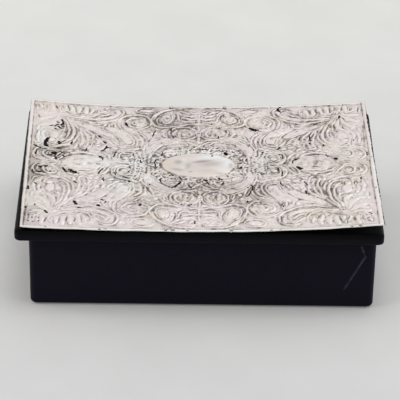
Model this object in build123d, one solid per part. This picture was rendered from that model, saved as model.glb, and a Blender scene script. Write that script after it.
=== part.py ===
from build123d import *
import os
from math import sqrt

# A leather-covered stamp box with an embossed silver sheet on its hinged lid.
# X runs along the box, Y from front to back, Z up. The origin is at the bottom, under the lid's middle.

# Lid
lid_length = 102.0
lid_depth = 70.0
lid_board_thickness = 2.0
lid_clearance = 0.1
lid_low_edge_radius = 0.4

# Leather skin
leather = 0.6
corner_radius = 1.8
edge_radius = 1.2
rim_edge_radius = 0.4

# Body
body_height = 22.6
overhang_left = 3.8
overhang_right = 1.8
overhang_front = 2.5
overhang_back = 2.75
wall_board = 3.0
bottom_board_thickness = 2.4
bottom_turn_in = 8.0
base_panel_thickness = 0.8
panel_gap = 0.1

# Compartments
compartments = 3
divider_thickness = 1.6
divider_groove = 0.8
divider_rise = 0.2
divider_edge_radius = 0.5
lining = 0.4
slope_height = 12.5
slope_land = 1.5
slope_run = 34.0
slope_toe = 1.0

# Lining panel under the lid
lid_lining_margin = 1.5
lid_lining_edge_radius = 0.2

# Hinges
hinge_spread = 56.0
hinge_offset = 0.6
knuckle_radius = 1.0
end_knuckle = 4.0
middle_knuckle = 5.6
knuckle_gap = 0.2
knuckle_clearance = 0.3
leaf_thickness = 0.5
leaf_width = 3.4
leaf_gap = 0.1
hinge_pin_radius = 0.45
hinge_pin_clearance = 0.05
hinge_pin_proud = 0.2

# Hinge screws
screw_head_radius = 0.85
screw_head_depth = 0.35
screw_radius = 0.45
lower_screw_length = 4.0
upper_screw_length = 2.1
screw_spread = 8.4
screw_offset = 2.3
screw_slot_width = 0.25
screw_slot_depth = 0.15

# Silver plate, a thin sheet that is trimmed a little askew and has curled up at both ends
plate_inset_left = 1.5
plate_inset_right = 0.1
plate_inset_left_at_back = 0.6
plate_inset_right_at_back = 1.4
plate_inset_front = 0.1
plate_inset_back = 0.4
sheet = 0.35
lift_front_left = 0.9
lift_front_middle = 0.0
lift_front_right = 3.0
lift_back_left = 2.5
lift_back_middle = 0.5
lift_back_right = 2.9
plate_border = 1.9
border_rise = 0.3
cartouche_length = 21.8
cartouche_width = 12.8
cartouche_rise = 0.7
cartouche_collar = 1.2
collar_rise = 0.4

# Where the sheet's flat part ends, as shares of half its length, from its middle
flat_left_share = -0.2
flat_right_share = -0.1

# Plate pins and their nail holes, with places as shares of half the plate's length or width
nail_inset = 1.0
nail_hole_radius = 0.4
pin_shank_radius = 0.3
pin_head_radius = 0.6
pin_head_height = 0.3
pin_depth = 2.2
held_pin_shares = (-0.16, 0.16)
empty_hole_shares = (-0.86, -0.53, 0.43, 0.86)
side_hole_shares = (-0.42, 0.06)

# Cuts run past the faces that they open by this much
overrun = 1.0

# Levels and faces that follow from the sizes
lid_left = -lid_length / 2
lid_right = lid_length / 2
lid_front = -lid_depth / 2
lid_back = lid_depth / 2
body_left = lid_left + overhang_left
body_right = lid_right - overhang_right
body_front = lid_front + overhang_front
body_back = lid_back - overhang_back
cavity_left = body_left + leather + wall_board
cavity_right = body_right - leather - wall_board
cavity_front = body_front + leather + wall_board
cavity_back = body_back - leather - wall_board
board_top = body_height - leather
board_bottom = base_panel_thickness
leather_bottom = board_bottom - leather
floor_top = board_bottom + bottom_board_thickness
lid_bottom = body_height + lid_clearance
lid_board_bottom = lid_bottom + leather
lid_board_top = lid_board_bottom + lid_board_thickness
lid_top = lid_board_top + leather
axis_y = body_back + hinge_offset
axis_z = body_height + lid_clearance / 2
hinge_length = 2 * end_knuckle + middle_knuckle + 2 * knuckle_gap
hinge_middle = (body_left + body_right) / 2
hinge_places = (hinge_middle - hinge_spread / 2, hinge_middle + hinge_spread / 2)
compartment_width = (cavity_right - cavity_left - (compartments - 1) * divider_thickness) / compartments


def block(x0, x1, y0, y1, z0, z1):
    """A plain block between two corners."""
    return Pos((x0 + x1) / 2, (y0 + y1) / 2, (z0 + z1) / 2) * Box(x1 - x0, y1 - y0, z1 - z0)


def rounded_block(x0, x1, y0, y1, z0, z1, upright, low, high):
    """A block with rounded upright corners and rounded bottom and top edges, where a radius is given."""
    shape = block(x0, x1, y0, y1, z0, z1)
    if upright > 0:
        shape = fillet(shape.edges().filter_by(Axis.Z), upright)
    if low > 0:
        shape = fillet(shape.faces().sort_by(Axis.Z)[0].edges(), low)
    if high > 0:
        shape = fillet(shape.faces().sort_by(Axis.Z)[-1].edges(), high)
    return shape


def rod(x0, x1, radius):
    """A round bar along the hinge axis."""
    return Pos((x0 + x1) / 2, axis_y, axis_z) * Rot(0, 90, 0) * Cylinder(radius, x1 - x0)


# The carcass is glued from thin boards, with the dividers let into grooves in its front and back.


def carcass():
    """The outline that the four walls share, inside the leather."""
    return rounded_block(
        body_left + leather,
        body_right - leather,
        body_front + leather,
        body_back - leather,
        board_bottom,
        board_top,
        corner_radius - leather,
        edge_radius - leather,
        0,
    )


def divider_left_face(number):
    """The left face of the divider to the right of a compartment, counted from the left."""
    return cavity_left + number * compartment_width + (number - 1) * divider_thickness


def divider_grooves():
    """The slots in the front and back walls that hold the dividers."""
    slots = [
        block(
            divider_left_face(number),
            divider_left_face(number) + divider_thickness,
            cavity_front - divider_groove,
            cavity_back + divider_groove,
            floor_top,
            board_top + overrun,
        )
        for number in range(1, compartments)
    ]
    return Part() + slots


def make_front_wall():
    wall = carcass() & block(body_left, body_right, body_front, cavity_front, 0, body_height)
    return wall - divider_grooves()


def make_back_wall():
    wall = carcass() & block(body_left, body_right, cavity_back, body_back, 0, body_height)
    return wall - divider_grooves() - lower_screw_holes()


def make_left_wall():
    return carcass() & block(body_left, cavity_left, cavity_front, cavity_back, 0, body_height)


def make_right_wall():
    return carcass() & block(cavity_right, body_right, cavity_front, cavity_back, 0, body_height)


def make_bottom_board():
    return block(cavity_left, cavity_right, cavity_front, cavity_back, board_bottom, floor_top)


def make_body_leather():
    """One skin round the walls, turned over the rim and turned in under the bottom."""
    skin = rounded_block(
        body_left,
        body_right,
        body_front,
        body_back,
        leather_bottom,
        body_height,
        corner_radius,
        edge_radius,
        rim_edge_radius,
    )
    mouth = block(
        cavity_left, cavity_right, cavity_front, cavity_back, board_bottom, body_height + overrun
    )
    window = block(
        body_left + bottom_turn_in,
        body_right - bottom_turn_in,
        body_front + bottom_turn_in,
        body_back - bottom_turn_in,
        -overrun,
        board_bottom + overrun,
    )
    skin = skin - carcass() - mouth - window
    for place in hinge_places:
        reach = hinge_length / 2 + leaf_gap
        leaf_front = axis_y - leaf_width - leaf_gap
        barrel_bottom = axis_z - knuckle_radius - knuckle_clearance
        skin -= block(
            place - reach, place + reach, leaf_front, body_back + overrun, board_top, lid_bottom
        )
        skin -= block(
            place - reach,
            place + reach,
            body_back - leather,
            body_back + overrun,
            barrel_bottom,
            lid_bottom,
        )
    return skin


def make_base_panel():
    """The baize panel under the bottom. It is thicker than the leather round it, so the box rests on it."""
    inset = bottom_turn_in + panel_gap
    return block(
        body_left + inset, body_right - inset, body_front + inset, body_back - inset, 0, board_bottom
    )


# Each compartment has a board with a hollow slope, so that a finger slides a stamp up to the front.


def slope_outline(inset, top):
    """The outline, seen from the side, of the room above a slope, drawn in by an inset."""
    radius = ((slope_run - slope_land) ** 2 + (slope_height - slope_toe) ** 2) / (
        2 * (slope_height - slope_toe)
    )
    front = cavity_front + inset
    back = cavity_back - inset
    low = floor_top + slope_toe + inset
    high = floor_top + slope_height + inset
    centre_y = cavity_front + slope_run
    centre_z = floor_top + slope_toe + radius
    inner = radius - inset
    land_end = centre_y - sqrt(inner**2 - (centre_z - high) ** 2)
    middle_y = (land_end + centre_y) / 2
    middle_z = centre_z - sqrt(inner**2 - (centre_y - middle_y) ** 2)
    lines = Polyline((front, top), (front, high), (land_end, high))
    hollow = ThreePointArc((land_end, high), (middle_y, middle_z), (centre_y, low))
    close = Polyline((centre_y, low), (back, low), (back, top), (front, top))
    return make_face(Plane.YZ * (lines + hollow + close))


def slope_room(left, right, inset, top):
    """The room above a slope between two faces, as a solid."""
    return Pos(left, 0, 0) * extrude(slope_outline(inset, top), amount=right - left, dir=(1, 0, 0))


def compartment_left_face(number):
    """The left face of a compartment, counted from zero at the left."""
    return cavity_left + number * (compartment_width + divider_thickness)


def make_slope(number):
    left = compartment_left_face(number)
    right = left + compartment_width
    board = block(left, right, cavity_front, cavity_back, floor_top, floor_top + slope_height)
    return board - slope_room(left - overrun, right + overrun, 0, board_top + overrun)


def make_compartment_lining(number):
    """A folded liner that covers the slope and the four walls of a compartment."""
    left = compartment_left_face(number)
    right = left + compartment_width
    outside = slope_room(left, right, 0, board_top)
    inside = slope_room(left + lining, right - lining, lining, board_top + overrun)
    return outside - inside


def make_divider(number):
    left = divider_left_face(number)
    board = block(
        left,
        left + divider_thickness,
        cavity_front - divider_groove,
        cavity_back + divider_groove,
        floor_top,
        board_top,
    )
    crest = block(
        left,
        left + divider_thickness,
        cavity_front,
        cavity_back,
        floor_top,
        board_top + divider_rise,
    )
    crest = fillet(
        crest.faces().sort_by(Axis.Z)[-1].edges().filter_by(Axis.Y), divider_edge_radius
    )
    return (board & block(left, left + divider_thickness, body_front, cavity_front, 0, board_top)) + (
        board & block(left, left + divider_thickness, cavity_back, body_back, 0, board_top)
    ) + crest


# Each hinge is a pair of brass leaves with three knuckles on one pin.


def barrel(x0, x1, bore):
    return rod(x0, x1, knuckle_radius) - rod(x0 - overrun, x1 + overrun, bore)


def leaf_plate(place, z0, z1):
    """A flat hinge leaf, from the pin's axis towards the front."""
    reach = hinge_length / 2
    return block(place - reach, place + reach, axis_y - leaf_width, axis_y, z0, z1)


def knuckle_room(x0, x1):
    """The room cut from a leaf for the other leaf's knuckle, and for the whole of the pin's hole."""
    reach = knuckle_radius + knuckle_clearance
    return block(x0, x1, axis_y - reach, axis_y + reach, axis_z - reach, axis_z + reach)


def screw_places(place):
    return [(place + side * screw_spread / 2, axis_y - screw_offset) for side in (-1, 1)]


def screw(x, y, head_z, length, up):
    """A countersunk screw whose head lies at head_z. It points up or down."""
    cone = Cone(screw_head_radius, screw_radius, screw_head_depth)
    cone = Pos(0, 0, screw_head_depth / 2) * cone
    shank = Pos(0, 0, length / 2) * Cylinder(screw_radius, length)
    slot = Box(2 * screw_head_radius + overrun, screw_slot_width, 2 * screw_slot_depth)
    turned = cone + shank - slot
    flip = Rot(0, 0, 0) if up else Rot(180, 0, 0)
    return Pos(x, y, head_z) * flip * turned


def screw_hole(x, y, head_z, length, up):
    """The countersunk hole that a screw fills."""
    cone = Pos(0, 0, screw_head_depth / 2) * Cone(screw_head_radius, screw_radius, screw_head_depth)
    shank = Pos(0, 0, length / 2) * Cylinder(screw_radius, length)
    flip = Rot(0, 0, 0) if up else Rot(180, 0, 0)
    return Pos(x, y, head_z) * flip * (cone + shank)


lower_leaf_top = board_top + leaf_thickness
upper_leaf_bottom = lid_board_bottom - leaf_thickness


def lower_screw_holes():
    holes = [
        screw_hole(x, y, lower_leaf_top, lower_screw_length, False)
        for place in hinge_places
        for x, y in screw_places(place)
    ]
    return Part() + holes


def upper_screw_holes():
    holes = [
        screw_hole(x, y, upper_leaf_bottom, upper_screw_length, True)
        for place in hinge_places
        for x, y in screw_places(place)
    ]
    return Part() + holes


def make_lower_leaf(place):
    """The leaf on the back wall, with the two end knuckles that hold the pin fast."""
    outer = hinge_length / 2
    inner = middle_knuckle / 2 + knuckle_gap
    plate = leaf_plate(place, board_top, lower_leaf_top)
    plate -= knuckle_room(place - inner, place + inner)
    plate -= rod(place - outer - overrun, place + outer + overrun, hinge_pin_radius)
    ends = barrel(place - outer, place - inner, hinge_pin_radius) + barrel(
        place + inner, place + outer, hinge_pin_radius
    )
    return plate + ends - lower_screw_holes()


def make_upper_leaf(place):
    """The leaf in the lid, with the middle knuckle that turns on the pin."""
    outer = hinge_length / 2
    middle = middle_knuckle / 2
    bore = hinge_pin_radius + hinge_pin_clearance
    plate = leaf_plate(place, upper_leaf_bottom, lid_board_bottom)
    plate -= knuckle_room(place - outer - overrun, place - middle)
    plate -= knuckle_room(place + middle, place + outer + overrun)
    plate -= rod(place - outer, place + outer, bore)
    return plate + barrel(place - middle, place + middle, bore) - upper_screw_holes()


def make_hinge_pin(place):
    outer = hinge_length / 2 + hinge_pin_proud
    pin = rod(place - outer, place + outer, hinge_pin_radius)
    return chamfer(pin.edges().filter_by(GeomType.CIRCLE), hinge_pin_proud / 2)


def make_lower_screws():
    return Compound(
        [
            screw(x, y, lower_leaf_top, lower_screw_length, False)
            for place in hinge_places
            for x, y in screw_places(place)
        ]
    )


def make_upper_screws():
    return Compound(
        [
            screw(x, y, upper_leaf_bottom, upper_screw_length, True)
            for place in hinge_places
            for x, y in screw_places(place)
        ]
    )


# The lid is a thin board in a leather cover, with a lining panel on its underside.


def lid_core():
    return rounded_block(
        lid_left + leather,
        lid_right - leather,
        lid_front + leather,
        lid_back - leather,
        lid_board_bottom,
        lid_board_top,
        corner_radius - leather,
        lid_low_edge_radius - leather,
        edge_radius - leather,
    )


def knuckle_groove(place):
    """The round groove under the lid that the hinge's knuckles turn in."""
    reach = hinge_length / 2 + hinge_pin_proud + leaf_gap
    return rod(place - reach, place + reach, knuckle_radius + knuckle_clearance)


def make_lid_board():
    board = lid_core()
    for place in hinge_places:
        board -= knuckle_groove(place)
    return board - upper_screw_holes() - pin_holes()


def lining_window(gap, z0, z1):
    margin = lid_lining_margin + gap
    return block(
        cavity_left + margin, cavity_right - margin, cavity_front + margin, cavity_back - margin, z0, z1
    )


def make_lid_leather():
    """One skin over the lid board, turned in round the lining panel."""
    skin = rounded_block(
        lid_left,
        lid_right,
        lid_front,
        lid_back,
        lid_bottom,
        lid_top,
        corner_radius,
        lid_low_edge_radius,
        edge_radius,
    )
    skin = skin - lid_core() - lining_window(0, lid_bottom - overrun, lid_board_bottom)
    for place in hinge_places:
        reach = hinge_length / 2 + leaf_gap
        skin -= block(
            place - reach,
            place + reach,
            axis_y - leaf_width - leaf_gap,
            axis_y + knuckle_radius,
            lid_bottom - overrun,
            lid_board_bottom,
        )
        skin -= knuckle_groove(place)
    return skin - pin_holes()


def make_lid_lining():
    panel = lining_window(panel_gap, lid_bottom, lid_board_bottom)
    return fillet(panel.faces().sort_by(Axis.Z)[0].edges(), lid_lining_edge_radius)


# The silver sheet lies on the leather in its middle and has curled up at both ends.

plate_left = lid_left + plate_inset_left
plate_right = lid_right - plate_inset_right
plate_front = lid_front + plate_inset_front
plate_back = lid_back - plate_inset_back
plate_left_at_back = lid_left + plate_inset_left_at_back
plate_right_at_back = lid_right - plate_inset_right_at_back
plate_middle_y = (plate_front + plate_back) / 2
plate_reach_y = (plate_back - plate_front) / 2


def plate_ends(y):
    """Where the sheet's left and right edges stand at a place between its front and back."""
    share = (y - plate_front) / (plate_back - plate_front)
    return (
        plate_left * (1 - share) + plate_left_at_back * share,
        plate_right * (1 - share) + plate_right_at_back * share,
    )


def plate_place(share, y):
    """A place across the sheet, as a share of its half length from its middle."""
    low, high = plate_ends(y)
    return (low + high) / 2 + share * (high - low) / 2


plate_middle_x = plate_place(0, plate_middle_y)


def curl(reach, rise, share):
    """The height of a curled end, as an arc that leaves the flat part smoothly."""
    radius = (reach**2 + rise**2) / (2 * rise)
    return radius - sqrt(radius**2 - (reach * share) ** 2)


def edge_height(x, y, left, middle, right):
    """How high the front or back edge of the sheet stands above the lid at a place along it."""
    low, high = plate_ends(y)
    flat_left, flat_right = plate_place(flat_left_share, y), plate_place(flat_right_share, y)
    if x < flat_left:
        reach = flat_left - low
        return middle + curl(reach, left - middle, (flat_left - x) / reach)
    if x > flat_right:
        reach = high - flat_right
        return middle + curl(reach, right - middle, (x - flat_right) / reach)
    return middle


def front_height(x):
    return edge_height(x, plate_front, lift_front_left, lift_front_middle, lift_front_right)


def back_height(x):
    return edge_height(x, plate_back, lift_back_left, lift_back_middle, lift_back_right)


def sheet_height(x, y):
    """How high the underside of the sheet stands above the lid at a place on it."""
    share = (y - plate_front) / (plate_back - plate_front)
    low, high = plate_ends(y)
    across = 2 * (x - low) / (high - low) - 1
    front = front_height(plate_place(across, plate_front))
    return front * (1 - share) + back_height(plate_place(across, plate_back)) * share


def curled_outline(height, y, thickness):
    """The sheet's outline at its front or back edge, as two parallel lines that end in arcs."""
    low_end, high_end = plate_ends(y)
    flat_left, flat_right = plate_place(flat_left_share, y), plate_place(flat_right_share, y)
    halfway_left = (low_end + flat_left) / 2
    halfway_right = (high_end + flat_right) / 2

    def line(rise, order):
        stops = [low_end, halfway_left, flat_left, flat_right, halfway_right, high_end]
        points = [(x, lid_top + height(x) + rise) for x in stops]
        pieces = [
            ThreePointArc(*points[0:3]),
            Line(points[2], points[3]),
            ThreePointArc(*points[3:6]),
        ]
        return pieces if order > 0 else pieces[::-1]

    low = line(0, 1)
    high = line(thickness, -1)
    start = (low_end, lid_top + height(low_end))
    end = (high_end, lid_top + height(high_end))
    right_side = Line(end, (high_end, end[1] + thickness))
    left_side = Line(start, (low_end, start[1] + thickness))
    edges = low + [right_side] + high + [left_side]
    return make_face(Plane((0, y, 0), x_dir=(1, 0, 0), z_dir=(0, -1, 0)) * (Curve() + edges))


def curled_sheet(thickness):
    """A sheet of a given thickness from the front edge's outline to the back edge's."""
    return loft(
        [
            curled_outline(front_height, plate_front, thickness),
            curled_outline(back_height, plate_back, thickness),
        ],
        ruled=True,
    )


def tall_oval(length, width):
    """An upright oval post through the sheet's middle, for cutting the cartouche."""
    outline = Ellipse(length / 2, width / 2)
    depth = lift_front_right + sheet + cartouche_rise + overrun
    return Pos(plate_middle_x, plate_middle_y, lid_top - overrun) * extrude(
        outline, amount=depth + 2 * overrun
    )


def nail_places(shares):
    """Nail places at the front and back edges of the sheet."""
    return [
        (plate_place(share, y), y)
        for share in shares
        for y in (plate_front + nail_inset, plate_back - nail_inset)
    ]


def side_nail_places():
    places = []
    for share in side_hole_shares:
        y = plate_middle_y + share * plate_reach_y
        low, high = plate_ends(y)
        places += [(low + nail_inset, y), (high - nail_inset, y)]
    return places


def inside_border():
    """An upright block over all of the sheet that lies within its border."""
    front, back = plate_front + plate_border, plate_back - plate_border
    front_low, front_high = plate_ends(front)
    back_low, back_high = plate_ends(back)
    outline = Polyline(
        (front_low + plate_border, front),
        (front_high - plate_border, front),
        (back_high - plate_border, back),
        (back_low + plate_border, back),
        close=True,
    )
    return extrude(make_face(outline), amount=lid_top + lid_length)


def make_silver_plate():
    """The embossed sheet, with its raised border and its plain oval cartouche in a collar."""
    collar_length = cartouche_length + 2 * cartouche_collar
    collar_width = cartouche_width + 2 * cartouche_collar
    border = curled_sheet(sheet + border_rise) - inside_border()
    boss = curled_sheet(sheet + cartouche_rise) & tall_oval(cartouche_length, cartouche_width)
    collar = curled_sheet(sheet + collar_rise) & tall_oval(collar_length, collar_width)
    plate = curled_sheet(sheet) + border + collar + boss
    for x, y in nail_places(held_pin_shares + empty_hole_shares) + side_nail_places():
        plate -= Pos(x, y, lid_top) * Cylinder(nail_hole_radius, lid_length)
    return plate


def pin_head_z(x, y):
    return lid_top + sheet_height(x, y) + sheet + border_rise


def pin_length(x, y):
    return pin_head_z(x, y) - lid_top + pin_depth


def pin_holes():
    """The holes that the pins fill in the leather and the lid board."""
    holes = [
        Pos(x, y, pin_head_z(x, y) - pin_length(x, y) / 2) * Cylinder(pin_shank_radius, pin_length(x, y))
        for x, y in nail_places(held_pin_shares)
    ]
    return Part() + holes


def plate_pin(x, y):
    """A small domed nail through the sheet into the lid board."""
    seat = pin_head_z(x, y)
    shank = Pos(x, y, seat - pin_length(x, y) / 2) * Cylinder(pin_shank_radius, pin_length(x, y))
    head = Pos(x, y, seat + pin_head_height / 2) * Cylinder(pin_head_radius, pin_head_height)
    head = fillet(head.edges().sort_by(Axis.Z)[-1], pin_head_height / 2)
    return shank + head


def make_plate_pins():
    return Compound([plate_pin(x, y) for x, y in nail_places(held_pin_shares)])


# Node names and the pieces that they hold


def all_pieces():
    pieces = {
        "bottom_board": make_bottom_board(),
        "front_wall": make_front_wall(),
        "back_wall": make_back_wall(),
        "left_wall": make_left_wall(),
        "right_wall": make_right_wall(),
        "body_leather": make_body_leather(),
        "base_panel": make_base_panel(),
        "lid_board": make_lid_board(),
        "lid_leather": make_lid_leather(),
        "lid_lining": make_lid_lining(),
        "silver_plate": make_silver_plate(),
        "plate_pins": make_plate_pins(),
        "lower_hinge_screws": make_lower_screws(),
        "upper_hinge_screws": make_upper_screws(),
    }
    for number in range(compartments):
        pieces[f"slope_board_{number + 1}"] = make_slope(number)
        pieces[f"compartment_lining_{number + 1}"] = make_compartment_lining(number)
    for number in range(1, compartments):
        pieces[f"divider_{number}"] = make_divider(number)
    for side, place in zip(("left", "right"), hinge_places):
        pieces[f"lower_hinge_leaf_{side}"] = make_lower_leaf(place)
        pieces[f"upper_hinge_leaf_{side}"] = make_upper_leaf(place)
        pieces[f"hinge_pin_{side}"] = make_hinge_pin(place)
    return pieces


os.makedirs("parts", exist_ok=True)
for name, shape in all_pieces().items():
    export_step(shape, f"parts/{name}.step")
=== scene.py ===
import bpy
import numpy as np
from mathutils import Matrix, Vector

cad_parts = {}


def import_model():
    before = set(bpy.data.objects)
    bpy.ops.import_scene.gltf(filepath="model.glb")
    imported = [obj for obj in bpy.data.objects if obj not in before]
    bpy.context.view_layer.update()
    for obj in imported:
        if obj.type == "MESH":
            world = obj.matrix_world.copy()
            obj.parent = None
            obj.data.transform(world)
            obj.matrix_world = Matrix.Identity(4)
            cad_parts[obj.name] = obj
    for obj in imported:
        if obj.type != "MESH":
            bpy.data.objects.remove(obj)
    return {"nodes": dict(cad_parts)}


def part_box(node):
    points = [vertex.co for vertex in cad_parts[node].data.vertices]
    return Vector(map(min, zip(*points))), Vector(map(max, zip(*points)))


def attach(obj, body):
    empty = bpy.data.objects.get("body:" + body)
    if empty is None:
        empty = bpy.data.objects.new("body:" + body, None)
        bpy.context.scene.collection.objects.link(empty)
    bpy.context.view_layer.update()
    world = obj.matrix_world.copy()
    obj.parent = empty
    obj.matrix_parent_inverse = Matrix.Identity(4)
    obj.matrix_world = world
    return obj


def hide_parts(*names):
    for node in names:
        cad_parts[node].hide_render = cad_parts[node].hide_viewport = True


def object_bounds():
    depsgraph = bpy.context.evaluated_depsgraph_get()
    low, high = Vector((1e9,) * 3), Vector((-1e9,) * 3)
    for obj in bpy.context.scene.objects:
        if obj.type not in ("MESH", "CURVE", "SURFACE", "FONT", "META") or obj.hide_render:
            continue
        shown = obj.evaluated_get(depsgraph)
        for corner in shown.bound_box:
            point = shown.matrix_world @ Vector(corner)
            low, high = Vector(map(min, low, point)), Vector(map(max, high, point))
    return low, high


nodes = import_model()["nodes"]
solid_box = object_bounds()
mm = 0.001

# The box's five boards
# Four walls glued round a bottom board, sawn from a plain straight-grained softwood.
# Leather covers them outside and over the rim, and silk inside, so hardly any of the wood shows.


def feed(tree, node, inputs):
    """Gives a node its inputs, which are values or other nodes' outputs."""
    for name, value in inputs.items():
        if isinstance(value, bpy.types.NodeSocket):
            tree.links.new(value, node.inputs[name])
        else:
            node.inputs[name].default_value = value


def shade(tree, kind, inputs, **settings):
    """The outputs of a new shader node with these settings and inputs."""
    made = tree.nodes.new("ShaderNode" + kind)
    for name, value in settings.items():
        setattr(made, name, value)
    feed(tree, made, inputs)
    return made.outputs


def new_finish(name, settings):
    """A material with its surface shader, and the place on the object as a vector."""
    finish = bpy.data.materials.new(name)
    finish.use_nodes = True
    tree = finish.node_tree
    surface = tree.nodes["Principled BSDF"]
    feed(tree, surface, settings)
    return finish, tree, surface, shade(tree, "TexCoord", {})["Object"]


def new_effect(name, inputs, outputs):
    """A shared effect, whose inputs take their kind from their values, and outputs from their names."""
    tree = bpy.data.node_groups.new(name, "ShaderNodeTree")
    kinds = {0: "NodeSocketFloat", 3: "NodeSocketVector", 4: "NodeSocketColor"}
    for label, value in {"Place": (0, 0, 0), **inputs}.items():
        kind = kinds[len(value) if isinstance(value, tuple) else 0]
        tree.interface.new_socket(label, in_out="INPUT", socket_type=kind).default_value = value
    for label in outputs:
        kind = kinds[4 if label == "Colour" else 0]
        tree.interface.new_socket(label, in_out="OUTPUT", socket_type=kind)
    return tree, tree.nodes.new("NodeGroupInput").outputs, tree.nodes.new("NodeGroupOutput")


def dress(finish, *node_names):
    for name in node_names:
        for slot in nodes[name].material_slots:
            slot.material = finish


def math(tree, operation, a, b=0.0, c=0.0, clamp=False):
    return shade(tree, "Math", {0: a, 1: b, 2: c}, operation=operation, use_clamp=clamp)[0]


def vector(tree, operation, *inputs):
    return shade(tree, "VectorMath", dict(enumerate(inputs)), operation=operation)


def apart(tree, place):
    return shade(tree, "SeparateXYZ", {"Vector": place})


def blend_colour(tree, amount, a, b, way="MIX"):
    """A colour between two others, or the two multiplied."""
    return shade(tree, "Mix", {0: amount, 6: a, 7: b}, data_type="RGBA", blend_type=way)[2]


def spread(tree, value, low, high, to_low=0.0, to_high=1.0, way="LINEAR"):
    """A value moved from one range to another and held inside it."""
    ends = {"Value": value, "From Min": low, "From Max": high, "To Min": to_low, "To Max": to_high}
    return shade(tree, "MapRange", ends, interpolation_type=way)["Result"]


def noise(tree, place, scale, detail=4.0, roughness=0.55, stretch=None):
    if stretch:
        place = vector(tree, "MULTIPLY", place, stretch)[0]
    inputs = {"Vector": place, "Scale": scale, "Detail": detail, "Roughness": roughness}
    return shade(tree, "TexNoise", inputs)["Fac"]


def cover(tree, surface, colour, roughness, height, distance, strength):
    """Gives a surface its colour, its roughness and a fine relief of this strength."""
    normal = shade(tree, "Bump", {"Height": height, "Distance": distance, "Strength": strength})["Normal"]
    feed(tree, surface, {"Base Color": colour, "Roughness": roughness, "Normal": normal})


def grain_of_wood():
    """Long fibres along X, growth bands and small pores."""
    plain = {"Pale": (0.6, 0.43, 0.27, 1), "Dark": (0.4, 0.26, 0.15, 1)}
    tree, given, out = new_effect("wood grain", plain, ("Colour", "Height"))
    place = given["Place"]
    fibres = noise(tree, place, 1500, 4, 0.6, (0.04, 1, 1))
    bands = noise(tree, place, 230, 2, 0.5, (0.05, 1, 1))
    pores = spread(tree, noise(tree, place, 4200, 1, 0.5, (0.08, 1, 1)), 0.6, 0.72)
    fibre_share = math(tree, "MULTIPLY", fibres, 0.45)
    band_share = math(tree, "MULTIPLY", spread(tree, bands, 0.35, 0.65), 0.45)
    darkness = math(tree, "ADD", fibre_share, band_share)
    darkness = math(tree, "MULTIPLY_ADD", pores, 0.35, darkness, clamp=True)
    colour = blend_colour(tree, darkness, given["Pale"], given["Dark"])
    feed(tree, out, {"Colour": colour, "Height": math(tree, "SUBTRACT", fibres, pores)})
    return tree


wood_grain = grain_of_wood()


def wood_finish(name, pale, dark, roughness):
    finish, tree, surface, place = new_finish(name, {"Specular IOR Level": 0.4})
    grain = shade(tree, "Group", {"Place": place, "Pale": pale, "Dark": dark}, node_tree=wood_grain)
    rub = spread(tree, noise(tree, place, 160, 3), 0.3, 0.7, roughness - 0.08, roughness + 0.1)
    cover(tree, surface, grain["Colour"], rub, grain["Height"], 0.00004, 0.6)
    return finish


board_wood = wood_finish("board wood", (0.62, 0.45, 0.28, 1), (0.43, 0.28, 0.16, 1), 0.55)
dress(board_wood, "bottom_board", "front_wall", "back_wall", "left_wall", "right_wall")

# The sloping stamp floors and the dividers
# The dividers are thin boards of stained hardwood, let into grooves in the walls and waxed. The floors
# are of the box's own wood, hollowed so that a finger slides a stamp up to the front.
divider_wood = wood_finish("divider wood", (0.40, 0.23, 0.13, 1), (0.22, 0.11, 0.06, 1), 0.38)
dress(divider_wood, "divider_1", "divider_2")
dress(board_wood, "slope_board_1", "slope_board_2", "slope_board_3")

# The compartment linings
# Watered silk folded over the floor and the four walls of each compartment. It is ribbed across, and
# pressed so that waves of sheen run over it.


def watered_silk():
    """Fine ribs whose pressed waves turn the light, as a height and a sheen mask."""
    plain = {
        "Silk": (0.8, 0.74, 0.62, 1), "Shadow": (0.62, 0.55, 0.42, 1), "Age": (0.55, 0.42, 0.24, 1),
    }
    tree, given, out = new_effect("watered silk", plain, ("Colour", "Height", "Waves"))
    rib, pressed_rib, thread = 0.00045, 0.00047, 0.0004
    place = given["Place"]
    bend = noise(tree, place, 55, 3, 0.6, (1, 0.35, 1))
    x, y = apart(tree, place)[:2]
    along = math(tree, "MULTIPLY_ADD", bend, 0.012, x)
    ribs = math(tree, "SINE", math(tree, "MULTIPLY", along, 2 * np.pi / rib))
    other = math(tree, "SINE", math(tree, "MULTIPLY", x, 2 * np.pi / pressed_rib))
    waves = spread(tree, math(tree, "MULTIPLY", ribs, other), -0.6, 0.6)
    wide = spread(tree, noise(tree, place, 150, 3, 0.6, (1, 0.3, 1)), 0.38, 0.62)
    waves = math(tree, "MULTIPLY", waves, wide)
    threads = math(tree, "SINE", math(tree, "MULTIPLY", y, 2 * np.pi / thread))
    age = spread(tree, noise(tree, place, 42, 4), 0.52, 0.78, 0.0, 0.45)
    # Painted shade: the pressed waves darken the silk's colour toward its shadow colour.
    silk = blend_colour(tree, waves, given["Silk"], given["Shadow"])
    feed(tree, out, {
        "Colour": blend_colour(tree, age, silk, given["Age"]),
        "Height": math(tree, "MULTIPLY_ADD", ribs, 0.4, threads),
        "Waves": waves,
    })
    return tree


silk_weave = watered_silk()


def silk_finish(name, silk, shadow):
    settings = {"Sheen Weight": 0.35, "Sheen Roughness": 0.35, "Specular IOR Level": 0.35}
    finish, tree, surface, place = new_finish(name, settings)
    weave = shade(tree, "Group", {"Place": place, "Silk": silk, "Shadow": shadow}, node_tree=silk_weave)
    sheen = spread(tree, weave["Waves"], 0, 1, 0.42, 0.62)
    cover(tree, surface, weave["Colour"], sheen, weave["Height"], 0.00002, 0.5)
    return finish


aged_silk = silk_finish("compartment silk", (0.80, 0.74, 0.62, 1), (0.66, 0.58, 0.45, 1))
dress(aged_silk, "compartment_lining_1", "compartment_lining_2", "compartment_lining_3")

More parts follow.
